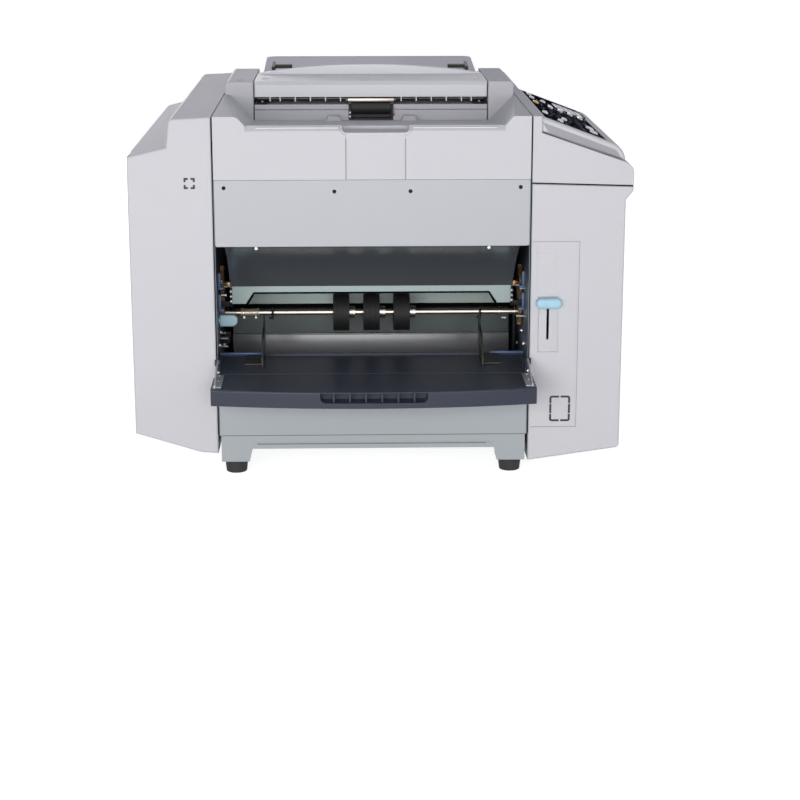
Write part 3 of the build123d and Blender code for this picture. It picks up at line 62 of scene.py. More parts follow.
def add_node(tree, kind, given=None, operation=None):
    """Add a shader node; each input gets a value, or a link when another node's output is given."""
    node = tree.nodes.new("ShaderNode" + kind)
    if operation:
        node.operation = operation
    for socket, source in (given or {}).items():
        if isinstance(source, bpy.types.NodeSocket):
            tree.links.new(source, node.inputs[socket])
        else:
            node.inputs[socket].default_value = source
    return node


def surface_group():
    """Shared surface effect: fine grain for the bump, slow mottle of tone and roughness, and a painted
    highlight that lightens the colour along edges.
    """
    grain_detail, mottle_detail = 3.0, 5.0
    mottle_scale = 9.0
    grain_height = 0.0002
    highlight_begins, highlight_full = 0.995, 0.90
    group = bpy.data.node_groups.new("surface_texture", "ShaderNodeTree")
    for name, value in (("Grain Scale", 900.0), ("Grain Depth", 0.5), ("Tone Spread", 0.04),
                        ("Roughness", 0.5), ("Roughness Spread", 0.08), ("Painted Edge Highlight", 0.1),
                        ("Edge Width", 0.0006)):
        group.interface.new_socket(name, in_out="INPUT", socket_type="NodeSocketFloat").default_value = value
    group.interface.new_socket("Colour", in_out="INPUT", socket_type="NodeSocketColor")
    group.interface.new_socket("Colour", in_out="OUTPUT", socket_type="NodeSocketColor")
    group.interface.new_socket("Roughness", in_out="OUTPUT", socket_type="NodeSocketFloat")
    group.interface.new_socket("Normal", in_out="OUTPUT", socket_type="NodeSocketVector")
    given = group.nodes.new("NodeGroupInput").outputs
    place = add_node(group, "TexCoord").outputs["Object"]

    # Grain for the bump, over normals that are softened at the edges
    grain = add_node(group, "TexNoise", {"Vector": place, "Scale": given["Grain Scale"],
                                         "Detail": grain_detail})
    soft = add_node(group, "Bevel", {"Radius": given["Edge Width"]})
    soft.samples = 4
    bump = add_node(group, "Bump", {"Distance": grain_height, "Strength": given["Grain Depth"],
                                    "Height": grain.outputs["Fac"], "Normal": soft.outputs["Normal"]})

    # An edge is where the softened normal leaves the flat one; there the colour is lightened as a painted
    # edge highlight
    flat = add_node(group, "NewGeometry")
    likeness = add_node(group, "VectorMath", {0: soft.outputs["Normal"], 1: flat.outputs["Normal"]},
                        "DOT_PRODUCT")
    edge = add_node(group, "MapRange", {"Value": likeness.outputs["Value"], "From Min": highlight_begins,
                                        "From Max": highlight_full, "To Min": 0.0, "To Max": given["Painted Edge Highlight"]})

    # Slow mottle, centred on zero, that shifts the tone and the roughness
    mottle = add_node(group, "TexNoise", {"Vector": place, "Scale": mottle_scale, "Detail": mottle_detail})
    centred = add_node(group, "Math", {0: mottle.outputs["Fac"], 1: 0.5}, "SUBTRACT").outputs[0]
    tone = add_node(group, "Math", {0: centred, 1: given["Tone Spread"], 2: 1.0}, "MULTIPLY_ADD")
    lit = add_node(group, "Math", {0: tone.outputs[0], 1: edge.outputs["Result"]}, "ADD")
    shade = add_node(group, "VectorMath", {0: given["Colour"], "Scale": lit.outputs[0]}, "SCALE")
    rough = add_node(group, "Math", {0: centred, 1: given["Roughness Spread"], 2: given["Roughness"]},
                     "MULTIPLY_ADD")
    result = group.nodes.new("NodeGroupOutput")
    for socket, source in (("Colour", shade.outputs[0]), ("Roughness", rough.outputs[0]),
                           ("Normal", bump.outputs["Normal"])):
        group.links.new(source, result.inputs[socket])
    return group


surface = surface_group()


def textured(name, colour, roughness, grain_scale, grain_depth, metallic=0.0, tone=0.04, spread=0.08,
             edge=0.1, width=0.0006):
    """A material whose colour, roughness and bump come from the shared surface effect; edge sets the
    strength of its painted edge highlight.
    """
    material, tree, shader = new_material(name, colour, roughness, metallic)
    effect = tree.nodes.new("ShaderNodeGroup")
    effect.node_tree = surface
    for socket, value in (("Colour", (*colour, 1.0)), ("Grain Scale", grain_scale),
                          ("Grain Depth", grain_depth), ("Tone Spread", tone), ("Roughness", roughness),
                          ("Roughness Spread", spread), ("Painted Edge Highlight", edge), ("Edge Width", width)):
        effect.inputs[socket].default_value = value
    for given, socket in (("Colour", "Base Color"), ("Roughness", "Roughness"), ("Normal", "Normal")):
        tree.links.new(effect.outputs[given], shader.inputs[socket])
    return material


def dress(material, *names):
    """Give CAD nodes their finish."""
    for name in names:
        mesh = nodes[name].data
        mesh.materials.clear()
        mesh.materials.append(material)


base_coat = textured("base_coat", (0.40, 0.435, 0.445), 0.42, 500.0, 0.25)
foot_rubber = textured("foot_rubber", (0.018, 0.018, 0.02), 0.7, 700.0, 0.6, tone=0.2)
dress(base_coat, "base_frame", "lower_panel")
dress(foot_rubber, "rubber_feet")


# Side frames and inner sheets
# Coated steel sides that carry every shaft, and the dark guide sheets between them.
# Screws, spring clips and bearings show on the frames' inner faces, as on any paper feed.

def set_shine(material, level):
    """Set how strongly a finish mirrors the room, where plain plastic is 0.5."""
    material.node_tree.nodes["Principled BSDF"].inputs["Specular IOR Level"].default_value = level


def add_piece(name, mesh, material, body):
    """Put a finished mesh into the scene as a piece that rides on a body."""
    mesh.materials.clear()
    mesh.materials.append(material)
    piece = bpy.data.objects.new(name, mesh)
    bpy.context.collection.objects.link(piece)
    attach(piece, body)
    return piece


def mesh_of(name, form, smooth=40.0, toward=None):
    """Turn an edit mesh into a mesh, smooth up to an angle; printed marks face toward a direction."""
    bmesh.ops.remove_doubles(form, verts=form.verts, dist=1e-7)
    bmesh.ops.recalc_face_normals(form, faces=form.faces)
    if toward:
        turned_away = [face for face in form.faces if face.normal.dot(Vector(toward)) < 0]
        bmesh.ops.reverse_faces(form, faces=turned_away)
    mesh = bpy.data.meshes.new(name)
    form.to_mesh(mesh)
    form.free()
    mesh.shade_smooth()
    mesh.set_sharp_from_angle(angle=math.radians(smooth))
    return mesh


def piece(material, body="machine", smooth=40.0, toward=None):
    """Make a piece with the function below: it draws in an edit mesh, and the piece takes its name."""
    def make(draw):
        form = bmesh.new()
        draw(form)
        return add_piece(draw.__name__, mesh_of(draw.__name__, form, smooth, toward), material, body)
    return make


def turned(form, profile, place, axis, steps=24):
    """Turn a profile of (distance along, radius) points round an axis, and close both ends."""
    turn = Vector((0, 0, 1)).rotation_difference(Vector(axis)).to_matrix().to_4x4()
    where = Matrix.Translation(Vector(place)) @ turn
    rings = []
    for along, radius in profile:
        ring = []
        for n in range(steps):
            angle = 2 * math.pi * n / steps
            point = Vector((radius * math.cos(angle), radius * math.sin(angle), along))
            ring.append(form.verts.new(where @ point))
        rings.append(ring)
    for low, high in zip(rings, rings[1:]):
        for n in range(steps):
            form.faces.new((low[n], low[n - 1], high[n - 1], high[n]))
    form.faces.new(rings[0])
    form.faces.new(rings[-1])


def washer(thickness, inner, outer):
    """The profile of a washer, a clip or one turn of a spring."""
    return [(0.0, inner), (0.0, outer), (thickness, outer), (thickness, inner)]


def around(middle, reach):
    """The range from a reach below a middle to a reach above it."""
    return middle - reach, middle + reach


def rounded_block(form, across, along, up, bevel, segments=2):
    """A block with rounded edges, from its ranges across the machine, along it and up."""
    low, high = (Vector(corner) for corner in zip(across, along, up))
    size = high - low
    made = bmesh.ops.create_cube(form, size=1.0, matrix=(Matrix.Translation((high + low) / 2)
                                                         @ Matrix.Diagonal((*size, 1.0))))
    edges = list({edge for vert in made["verts"] for edge in vert.link_edges})
    bmesh.ops.bevel(form, geom=edges, offset=bevel, segments=segments, affect="EDGES", profile=0.5)


def ribbon(form, upper, lower, front, back):
    """A flat strip between two lines of (x, z) points, from front to back along the machine."""
    rows = []
    for (x, z), (low_x, low_z) in zip(upper, lower):
        rows.append([form.verts.new(place) for place in
                     ((x, front, z), (low_x, front, low_z), (low_x, back, low_z), (x, back, z))])
    for first, second in zip(rows, rows[1:]):
        for n in range(4):
            form.faces.new((first[n - 1], first[n], second[n], second[n - 1]))
    form.faces.new(rows[0])
    form.faces.new(rows[-1][::-1])


def screw_head(form, place, axis, radius):
    """A domed screw head on a washer."""
    washer_radius = radius * 1.45
    profile = [(0.0, washer_radius), (radius * 0.25, washer_radius), (radius * 0.25, radius),
               (radius * 0.7, radius * 0.96), (radius, radius * 0.7), (radius * 1.05, radius * 0.3)]
    turned(form, profile, place, axis, 20)


def middle_of(name):
    """The middle of a CAD node's box."""
    low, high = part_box(name)
    return [(a + b) / 2 for a, b in zip(low, high)]


frame_steel = textured("frame_steel", (0.15, 0.175, 0.225), 0.4, 300.0, 0.2, metallic=0.3)
guide_coat = textured("guide_coat", (0.19, 0.205, 0.225), 0.22, 260.0, 0.1, metallic=0.5)
chute_coat = textured("chute_coat", (0.046, 0.060, 0.058), 0.3, 260.0, 0.1, metallic=0.2)
# The apron's rolled edge is made bright by a strong painted edge highlight (edge=2.4).
apron_coat = textured("apron_coat", (0.135, 0.137, 0.145), 0.3, 260.0, 0.12, metallic=0.3, edge=2.4)
upper_coat = textured("upper_coat", (0.42, 0.50, 0.47), 0.3, 260.0, 0.1)
# The bracket's edges are lightened by a painted highlight (edge=0.9), and its top edge gets a bright strip
# of painted highlight.
bracket_coat = textured("bracket_coat", (0.40, 0.50, 0.48), 0.3, 300.0, 0.2, edge=0.9)
bracket_highlight_coat = textured("bracket_highlight_coat", (0.62, 0.68, 0.66), 0.25, 300.0, 0.1)
bright_steel = textured("bright_steel", (0.72, 0.72, 0.73), 0.3, 400.0, 0.15, metallic=1.0)
dark_plastic = textured("dark_plastic", (0.010, 0.010, 0.011), 0.55, 900.0, 0.3)
set_shine(dark_plastic, 0.2)
# Black for painted shadow: strips put in slots, joints and under edges where there is only shade.
shadow_black = textured("shadow_black", (0.004, 0.004, 0.004), 0.9, 900.0, 0.6)
set_shine(shadow_black, 0.05)
clip_blue = textured("clip_blue", (0.10, 0.17, 0.30), 0.4, 700.0, 0.2)
bush_bronze = textured("bush_bronze", (0.45, 0.25, 0.11), 0.4, 500.0, 0.3, metallic=0.7, tone=0.3)
dress(frame_steel, "side_frame_left", "side_frame_right")
dress(guide_coat, "guide_plate")
dress(chute_coat, "feed_chute")
dress(bracket_coat, "cross_bracket")

sheet_low, sheet_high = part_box("feed_chute")
sheet_gap = 0.0003
frame_faces = ((sheet_low[0] - sheet_gap, 1), (sheet_high[0] + sheet_gap, -1))
frame_hold = 0.0002
bay_x = (sheet_low[0] + sheet_high[0]) / 2
shaft_y, shaft_z = middle_of("feed_shaft")[1:]
drive_y, drive_z = middle_of("drive_gears")[1:]
bracket_low, bracket_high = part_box("cross_bracket")
bracket_face = bracket_low[1]
bracket_half = 0.195
guide_half = 0.1985
guide_foot = 0.1940
guide_y = sheet_low[1] + 0.0055
apron_top = 0.1514


def from_frame(face, side, near, far):
    """The range across the machine between two distances from a frame's inner face."""
    return sorted((face + side * near, face + side * far))


@piece(bright_steel)
def frame_screws(form):
    """Bright screws on the frames' inner faces, around the gears and above the tray."""
    spots = ((0.035, 0.038), (0.057, 0.014), (-0.010, -0.026), (0.057, -0.059), (-0.046, -0.037))
    for face, side in frame_faces:
        for along, up in spots:
            screw_head(form, (face, shaft_y + along, shaft_z + up), (side, 0, 0), 0.0030)


@piece(clip_blue)
def shaft_clips(form):
    """Blue retaining clips before the gears: a finger on a foot that holds to the frame."""
    y = drive_y - 0.0425
    for face, side in frame_faces:
        finger = from_frame(face, side, frame_hold, 0.0042)
        foot = from_frame(face, side, frame_hold, 0.0080)
        for z in (drive_z + 0.013, drive_z - 0.018):
            rounded_block(form, finger, around(y, 0.0035), around(z, 0.011), 0.0012)
            rounded_block(form, foot, around(y, 0.0055), around(z - 0.011, 0.002), 0.0012)


@piece(dark_plastic)
def tray_stops(form):
    """A black stepped stop block low on the left frame, and a black guide rail by the chute on the right."""
    left, right = frame_faces[0][0], frame_faces[1][0]
    rounded_block(form, (left + frame_hold, left + 0.0130), (shaft_y - 0.010, shaft_y + 0.004),
                  (0.147, 0.159), 0.0010)
    rounded_block(form, (left + 0.0050, left + 0.0140), (shaft_y - 0.009, shaft_y), (0.158, 0.164), 0.0008)
    rounded_block(form, (right - 0.0105, right - 0.0050), (shaft_y + 0.030, shaft_y + 0.038), (0.112, 0.184),
                  0.0018)


def coil(form, start, axis, turns, pitch, inner, outer):
    """A short coil spring, as rings beside each other along an axis."""
    wire = 0.0009
    for turn in range(turns):
        place = Vector(start) + Vector(axis) * pitch * turn
        turned(form, washer(wire, inner, outer), place, axis, 16)


@piece(bright_steel)
def stop_springs(form):
    """Small bright coil springs that reach in from the left frame, over and under the stop block."""
    face, side = frame_faces[0]
    for z, turns in ((0.1635, 4), (0.1555, 6), (0.1440, 6)):
        start = (face + side * 0.0012, shaft_y - 0.0125, z)
        coil(form, start, (side, 0, 0), turns, 0.0017, 0.0010, 0.0019)


@piece(bright_steel)
def frame_pins(form):
    """Bright pins that stand in from the frames beside the gears, with a head at the end."""
    left, right = frame_faces
    pin_y = -0.1455
    shank, head, crown = 0.0016, 0.0026, 0.0018
    for (face, side), z, length in ((left, 0.2424, 0.006), (left, 0.2227, 0.012),
                                    (right, 0.1904, 0.011), (right, 0.2300, 0.006)):
        neck = length - 0.002
        profile = [(0.0, shank), (neck, shank), (neck, head), (length - 0.0005, head), (length, crown)]
        turned(form, profile, (face, pin_y, z), (side, 0, 0), 20)


@piece(shadow_black)
def bracket_shadow_strip(form):
    """Painted shadow: a black strip that follows the cross bracket's lower edge, standing for the shade
    under it.
    """
    leg = bracket_low[2] + 0.0004
    low = leg + 0.0165
    left, right = around(bay_x, bracket_half)
    upper = [(left + 0.0180, leg), (left + 0.0290, low), (right - 0.0290, low), (right - 0.0180, leg)]
    lower = [(left + 0.0225, leg - 0.002), (left + 0.0315, low - 0.0032), (right - 0.0315, low - 0.0032),
             (right - 0.0225, leg - 0.002)]
    ribbon(form, upper, lower, bracket_face + 0.0006, bracket_face + 0.0018)


@piece(bracket_highlight_coat)
def bracket_highlight_edge(form):
    """Painted highlight: a bright strip along the folded top edge of the cross bracket, standing for the
    light it catches.
    """
    rounded_block(form, around(bay_x, bracket_half), (bracket_face - 0.0004, bracket_face + 0.0012),
                  (bracket_high[2] - 0.0013, bracket_high[2] + 0.0003), 0.0006)


@piece(apron_coat)
def chute_apron(form):
    """Lower guide plate in front of the chute, with a rolled edge whose brightness is a strong painted
    highlight.
    """
    back = sheet_low[1] - 0.0002
    across = around(bay_x, guide_half)
    rounded_block(form, across, (back - 0.0010, back), (sheet_low[2] + 0.031, apron_top - 0.0002), 0.0004)
    rounded_block(form, across, (back - 0.0018, back), (apron_top - 0.0018, apron_top), 0.0007)


@piece(upper_coat)
def upper_guide(form):
    """Upper guide plate above the shaft; its lower edge is rolled over the chute's slot."""
    back = guide_y + 0.0012
    across = around(bay_x, guide_half)
    rounded_block(form, across, (guide_y, back), (guide_foot + 0.0005, sheet_high[2] - 0.001), 0.0004)
    rounded_block(form, across, (guide_y - 0.0010, back), (guide_foot, guide_foot + 0.0020), 0.0007)


@piece(shadow_black)
def slot_shadow_strip(form):
    """Painted shadow: a black strip in the slot under the upper guide plate, standing for the shade in the
    slot.
    """
    rounded_block(form, around(bay_x, guide_half), (guide_y + 0.0007, guide_y + 0.0019),
                  (guide_foot - 0.0060, guide_foot + 0.0004), 0.0004)


@piece(dark_plastic)
def bracket_ends(form):
    """Black end caps that hold the cross bracket to the frames."""
    low = bracket_low[2] - 0.004
    for face, side in frame_faces:
        rounded_block(form, from_frame(face, side, 0.0160, 0.0195),
                      (bracket_face - 0.0030, bracket_face - 0.0002), (low, bracket_high[2] - 0.002), 0.0006)
        rounded_block(form, from_frame(face, side, frame_hold, 0.0160),
                      (bracket_face - 0.0030, bracket_face - 0.0008), (low, low + 0.008), 0.0006)


@piece(bush_bronze)
def bracket_tabs(form):
    """Bronze spring tabs over the cross bracket's ends."""
    for face, side in frame_faces:
        rounded_block(form, from_frame(face, side, 0.0120, 0.0175),
                      (bracket_face - 0.0020, bracket_face + 0.0008),
                      (bracket_high[2] - 0.001, bracket_high[2] + 0.0065), 0.0006)


@piece(bright_steel)
def bracket_screws(form):
    """Small bright screws in the bracket's end caps."""
    for face, side in frame_faces:
        for up in (0.004, 0.011, 0.018):
            place = (face + side * 0.0178, bracket_face - 0.0029, bracket_low[2] + up)
            screw_head(form, place, (0, -1, 0), 0.0011)


# Moulded covers
# Light grey plastic shells with a fine sparked grain, clipped and screwed to the side frames.
# Black strips in their joints are painted shadow, grey lines at two joints are painted shade, and a light
# bead on the recess lip is a painted highlight.
# Two fine printed marks show where sheets line up, and a raised scale stands over the knob.
# The covers' edges are lightened by a painted highlight (edge=0.3).
cover_plastic = textured("cover_plastic", (0.675, 0.672, 0.686), 0.5, 1400.0, 0.35, tone=0.025, edge=0.3)
set_shine(cover_plastic, 0.04)
lip_highlight_white = textured("lip_highlight_white", (0.84, 0.84, 0.855), 0.4, 1400.0, 0.2, tone=0.02)
print_black = textured("print_black", (0.012, 0.012, 0.014), 0.55, 900.0, 0.1)
seam_shade_grey = textured("seam_shade_grey", (0.24, 0.24, 0.26), 0.6, 900.0, 0.1)
dress(cover_plastic, "left_cover", "right_cover", "upper_right_cover", "rear_cover", "rear_top_cover",
      "upper_front_cover", "grip_panel", "control_panel", "feeder_bed", "side_door")
face_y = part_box("left_cover")[0][1]
inset_y = face_y + 0.0012
ink = 0.00006
feed_side = (0, -1, 0)


def printed_strip(form, pairs, y):
    """A thin printed strip through pairs of (x, z) points on a face that looks to the feed side."""
    rows = []
    for pair in pairs:
        rows.append([form.verts.new((x, y - ink, z)) for x, z in pair])
    for first, second in zip(rows, rows[1:]):
        form.faces.new((first[0], first[1], second[1], second[0]))


def printed_bar(form, across, up, y):
    """A straight printed bar, from its ranges across and up."""
    printed_strip(form, [((x, up[1]), (x, up[0])) for x in across], y)


def printed_corner(form, middle, half, ends, corner, stroke, signs, y):
    """One corner of a printed frame: an arm, a rounded bend and the other arm."""
    sides = []
    bend = 6
    for inset in (0.0, stroke):
        radius = max(corner - inset, 0.0)
        reach = max(corner, inset)
        points = [(ends[0], half[1] - inset)]
        for n in range(bend + 1):
            angle = n / bend * math.pi / 2
            points.append((half[0] - reach + radius * math.sin(angle),
                           half[1] - reach + radius * math.cos(angle)))
        points.append((half[0] - inset, ends[1]))
        sides.append([(middle[0] + signs[0] * x, middle[1] + signs[1] * z) for x, z in points])
    printed_strip(form, list(zip(*sides)), y)


def four_corners(form, middle, half, ends, corner, stroke, y):
    """The four corners of a printed frame."""
    for signs in ((1, 1), (-1, 1), (-1, -1), (1, -1)):
        printed_corner(form, middle, half, ends, corner, stroke, signs, y)


@piece(print_black, toward=feed_side)
def corner_mark(form):
    """Four printed corner strokes on the left cover."""
    middle = (-0.2514, 0.3985)
    half = 0.0074
    arm = half - 0.0056
    four_corners(form, middle, (half, half), (arm, arm), 0.0008, 0.0027, face_y)


@piece(print_black, toward=feed_side)
def frame_mark(form):
    """Rounded rectangle in broken strokes, low on the right cover's inset."""
    middle = (0.2409, 0.0900)
    half = (0.0141, 0.0180)
    stroke = 0.0028
    gap = 0.0010
    notch = 0.0065
    four_corners(form, middle, half, (gap, notch + gap), 0.0036, stroke, inset_y)
    for side in (-1, 1):
        outer = middle[0] + side * half[0]
        printed_bar(form, (outer, outer - side * stroke), around(middle[1], notch), inset_y)


@piece(seam_shade_grey, toward=feed_side)
def inset_shade_line(form):
    """Painted shade: a fine grey line round the sunk panel on the right cover, standing for the shadow of
    its step.
    """
    x0, x1, z0, z1 = 0.2004, 0.2627, 0.0650, 0.3190
    line = 0.0006
    for across, up in (((x0, x1), (z0 - line, z0)), ((x0, x1), (z1, z1 + line)),
                       ((x1, x1 + line), (z0 - line, z1 + line))):
        printed_bar(form, across, up, face_y)


@piece(seam_shade_grey, toward=feed_side)
def grip_shade_lines(form):
    """Painted shade: grey lines at both sides of the centre panel on the upper front cover, standing for the
    shade in its joints.
    """
    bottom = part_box("grip_panel")[0][2]
    top = 0.4560
    for x in (-0.0464, 0.0319):
        printed_bar(form, around(x, 0.0005), (bottom, top), face_y)


@piece(lip_highlight_white)
def lip_highlight_beads(form):
    """Fine raised bead along the lip of the recess, left and right of the centre panel, in a lighter colour
    that is a painted highlight of the rounded lip.
    """
    for across in ((-0.1640, -0.0560), (0.0415, 0.1520)):
        rounded_block(form, across, (face_y - 0.0007, face_y + 0.0006), (0.4696, 0.4712), 0.0004, 1)


@piece(shadow_black)
def cover_joint_shadows(form):
    """Painted shadow: black strips in the joints between the covers, a little below their faces, standing
    for the shade in the joints.
    """
    front = face_y + 0.0007
    left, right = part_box("left_cover")[1][0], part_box("right_cover")[0][0]
    heights = (0.0560, 0.4840)
    for across in ((left - 0.0001, left + 0.0010), (right - 0.0010, right + 0.0001)):
        rounded_block(form, across, (front, front + 0.0022), heights, 0.0002, 1)
    upper = [(right + 0.0002, 0.39770), (0.3318, 0.39365)]
    lower = [(x, z - 0.0013) for x, z in upper]
    ribbon(form, upper, lower, front, front + 0.0120)


@piece(cover_plastic)
def knob_scale(form):
    """Raised scale over the pressure knob: a frame with bars that grow, from light to firm pressure."""
    x0, x1, z0, z1 = 0.2068, 0.2331, 0.2520, 0.3120
    line = 0.0007
    relief = around(inset_y, 0.0004)
    for across, up in (((x0, x1), (z0, z0 + line)), ((x0, x1), (z1 - line, z1)),
                       ((x0, x0 + line), (z0, z1)), ((x1 - line, x1), (z0, z1))):
        rounded_block(form, across, relief, up, 0.0001, 1)
    bars = 7
    margin = 0.007
    for n in range(bars):
        z = z0 + margin + n * (z1 - z0 - 2 * margin) / (bars - 1)
        rounded_block(form, around((x0 + x1) / 2, 0.0030 + 0.0011 * n), relief, around(z, 0.0008), 0.0002, 1)


# Joint lines of the base
# The lower panel stands on the base; the shade in its joint is painted as a fine dark line.
# A shallow groove is pressed across the base below it, to stiffen the sheet; its shade is painted as a
# second dark line.
base_shade_grey = textured("base_shade_grey", (0.14, 0.155, 0.155), 0.6, 900.0, 0.1)


@piece(base_shade_grey, toward=feed_side)
def base_shade_lines(form):
    """Painted shade: dark lines for the joint under the lower panel and for the groove pressed across the
    base.
    """
    panel_low, panel_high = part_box("lower_panel")
    base_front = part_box("base_frame")[0][1]
    printed_bar(form, (panel_low[0], panel_high[0]), around(panel_low[2], 0.0005), panel_low[1])
    printed_bar(form, (-0.1690, 0.1414), around(0.0425, 0.0006), base_front)


# Front plate
# Bluish grey coated sheet steel above the feed bay, held by four dark screws with a cross recess.
# Two steel studs stand at its lower edge.
front_coat = textured("front_coat", (0.49, 0.502, 0.522), 0.42, 420.0, 0.22)
stud_steel = textured("stud_steel", (0.36, 0.36, 0.37), 0.35, 400.0, 0.1, metallic=1.0)
dress(front_coat, "front_plate")
dress(stud_steel, "edge_studs")


def cross_head(form, place, radius):
    """A pan head that looks to the feed side, with four petals round its cross recess."""
    profile = [(0.0, radius), (radius * 0.30, radius), (radius * 0.52, radius * 0.86),
               (radius * 0.60, radius * 0.6)]
    petal = [(radius * 0.5, radius * 0.24), (radius * 0.72, radius * 0.2), (radius * 0.76, radius * 0.12)]
    turned(form, profile, place, feed_side, 24)
    for n in range(4):
        angle = math.pi / 4 + n * math.pi / 2
        spot = Vector(place) + Vector((math.cos(angle), 0, math.sin(angle))) * radius * 0.42
        turned(form, petal, spot, feed_side, 10)


@piece(dark_plastic)
def plate_screw_heads(form):
    """The four screws of the front plate, each in its hole."""
    low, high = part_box("plate_screws")
    radius = 0.0029
    edge = 0.003
    inner_reach = 0.050
    sunk = high[1] - 0.0008
    for x in (low[0] + edge, high[0] - edge):
        cross_head(form, (x, sunk, high[2] - edge), radius)
    for x in around(bay_x, inner_reach):
        cross_head(form, (x, sunk, low[2] + edge), radius)


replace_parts(plate_screw_heads, "plate_screws")


# Feed rollers, shaft and gears
# Bright ground steel shaft with turned collars, finely grooved rubber rollers and bronze gears at its ends.
# A roller is one land of its rubber repeated across it, and the three rollers are repeated along the shaft.

def repeat_group():
    """Geometry Nodes that set copies of a piece along a line and give them their material."""
    group = bpy.data.node_groups.new("repeat_along", "GeometryNodeTree")
    for name, kind in (("Geometry", "Geometry"), ("Count", "Int"), ("Offset", "Vector"),
                       ("Material", "Material")):
        group.interface.new_socket(name, in_out="INPUT", socket_type="NodeSocket" + kind)
    group.interface.new_socket("Geometry", in_out="OUTPUT", socket_type="NodeSocketGeometry")
    tree = group.nodes
    link = group.links.new
    given = tree.new("NodeGroupInput")
    result = tree.new("NodeGroupOutput")
    line = tree.new("GeometryNodeMeshLine")
    spread = tree.new("GeometryNodeInstanceOnPoints")
    real = tree.new("GeometryNodeRealizeInstances")
    finish = tree.new("GeometryNodeSetMaterial")
    link(given.outputs["Count"], line.inputs["Count"])
    link(given.outputs["Offset"], line.inputs["Offset"])
    link(line.outputs["Mesh"], spread.inputs["Points"])
    link(given.outputs["Geometry"], spread.inputs["Instance"])
    link(spread.outputs["Instances"], real.inputs["Geometry"])
    link(real.outputs["Geometry"], finish.inputs["Geometry"])
    link(given.outputs["Material"], finish.inputs["Material"])
    link(finish.outputs["Geometry"], result.inputs["Geometry"])
    return group


repeat_along = repeat_group()


def repeated(name, mesh, material, count, offset):
    """Repeat a mesh along a line with the node group, and keep the result as a plain mesh."""
    holder = bpy.data.objects.new(name + "_maker", mesh)
    bpy.context.collection.objects.link(holder)
    modifier = holder.modifiers.new("nodes", "NODES")
    modifier.node_group = repeat_along
    given = {"Material": material, "Count": count, "Offset": offset}
    for socket in repeat_along.interface.items_tree:
        if socket.in_out == "INPUT" and socket.name in given:
            modifier[socket.identifier] = given[socket.name]
    view = bpy.context.evaluated_depsgraph_get()
    made = bpy.data.meshes.new_from_object(holder.evaluated_get(view), depsgraph=view)
    made.name = name
    holder.modifiers.remove(modifier)
    bpy.data.objects.remove(holder)
    return made


shaft_steel = textured("shaft_steel", (0.66, 0.58, 0.50), 0.38, 240.0, 0.1, metallic=1.0)
roller_rubber = textured("roller_rubber", (0.010, 0.010, 0.011), 0.6, 1500.0, 0.8, tone=0.2)
gear_bronze = textured("gear_bronze", (0.26, 0.17, 0.09), 0.48, 700.0, 0.3, metallic=0.6, tone=0.4)
sleeve_tan = textured("sleeve_tan", (0.55, 0.47, 0.36), 0.42, 500.0, 0.2, metallic=0.6)
dress(shaft_steel, "feed_shaft")
dress(roller_rubber, "original_roller", "press_roller")
dress(gear_bronze, "feed_gears", "drive_gears")
rollers_low, rollers_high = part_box("feed_rollers")
roller_radius = (rollers_high[2] - rollers_low[2]) / 2
roller_width = 0.0228
roller_pitch = 0.0427
roller_count = 3
groove_count = 11
groove_pitch = roller_width / groove_count
sleeve_x = bay_x - 0.172


def groove_ring():
    """One land of the roller's rubber: a thin rounded ring round the shaft, on a solid core."""
    form = bmesh.new()
    outer = roller_radius - 0.00005
    shoulder = outer - 0.0001
    floor = roller_radius - 0.0009
    bore = 0.0083
    shares = ((0.0, bore), (0.0, floor), (0.22, floor), (0.30, shoulder), (0.40, outer),
              (0.80, outer), (0.90, shoulder), (0.98, floor), (1.0, floor), (1.0, bore))
    profile = [(groove_pitch * share, radius) for share, radius in shares]
    turned(form, profile, (rollers_low[0], shaft_y, shaft_z), (1, 0, 0), 72)
    return mesh_of("groove_ring", form, 50.0)


def grooved_rollers():
    """Three grooved rollers on the shaft."""
    roller = repeated("roller_rings", groove_ring(), roller_rubber, groove_count, (groove_pitch, 0.0, 0.0))
    return repeated("grooved_rollers", roller, roller_rubber, roller_count, (roller_pitch, 0.0, 0.0))


@piece(bright_steel, "feed_roller_unit")
def shaft_grooves(form):
    """Clips and turned grooves that hold each roller's collar on the shaft."""
    for n in range(roller_count):
        start = rollers_low[0] + roller_width + n * roller_pitch + 0.0012
        for step in range(3):
            place = (start + step * 0.0020, shaft_y, shaft_z)
            turned(form, washer(0.0009, 0.0072, 0.0086), place, (1, 0, 0), 32)


@piece(bright_steel, "feed_roller_unit")
def sleeve_clips(form):
    """Two small bright spring clips that hang below the shaft's sleeve."""
    front = shaft_y - 0.0066
    for x in around(sleeve_x, 0.0085):
        rounded_block(form, around(x, 0.0019), (front, front + 0.0020),
                      (shaft_z - 0.0075, shaft_z - 0.0052), 0.0006)
        rounded_block(form, around(x, 0.0010), (front, front + 0.0016),
                      (shaft_z - 0.0056, shaft_z - 0.0036), 0.0004)


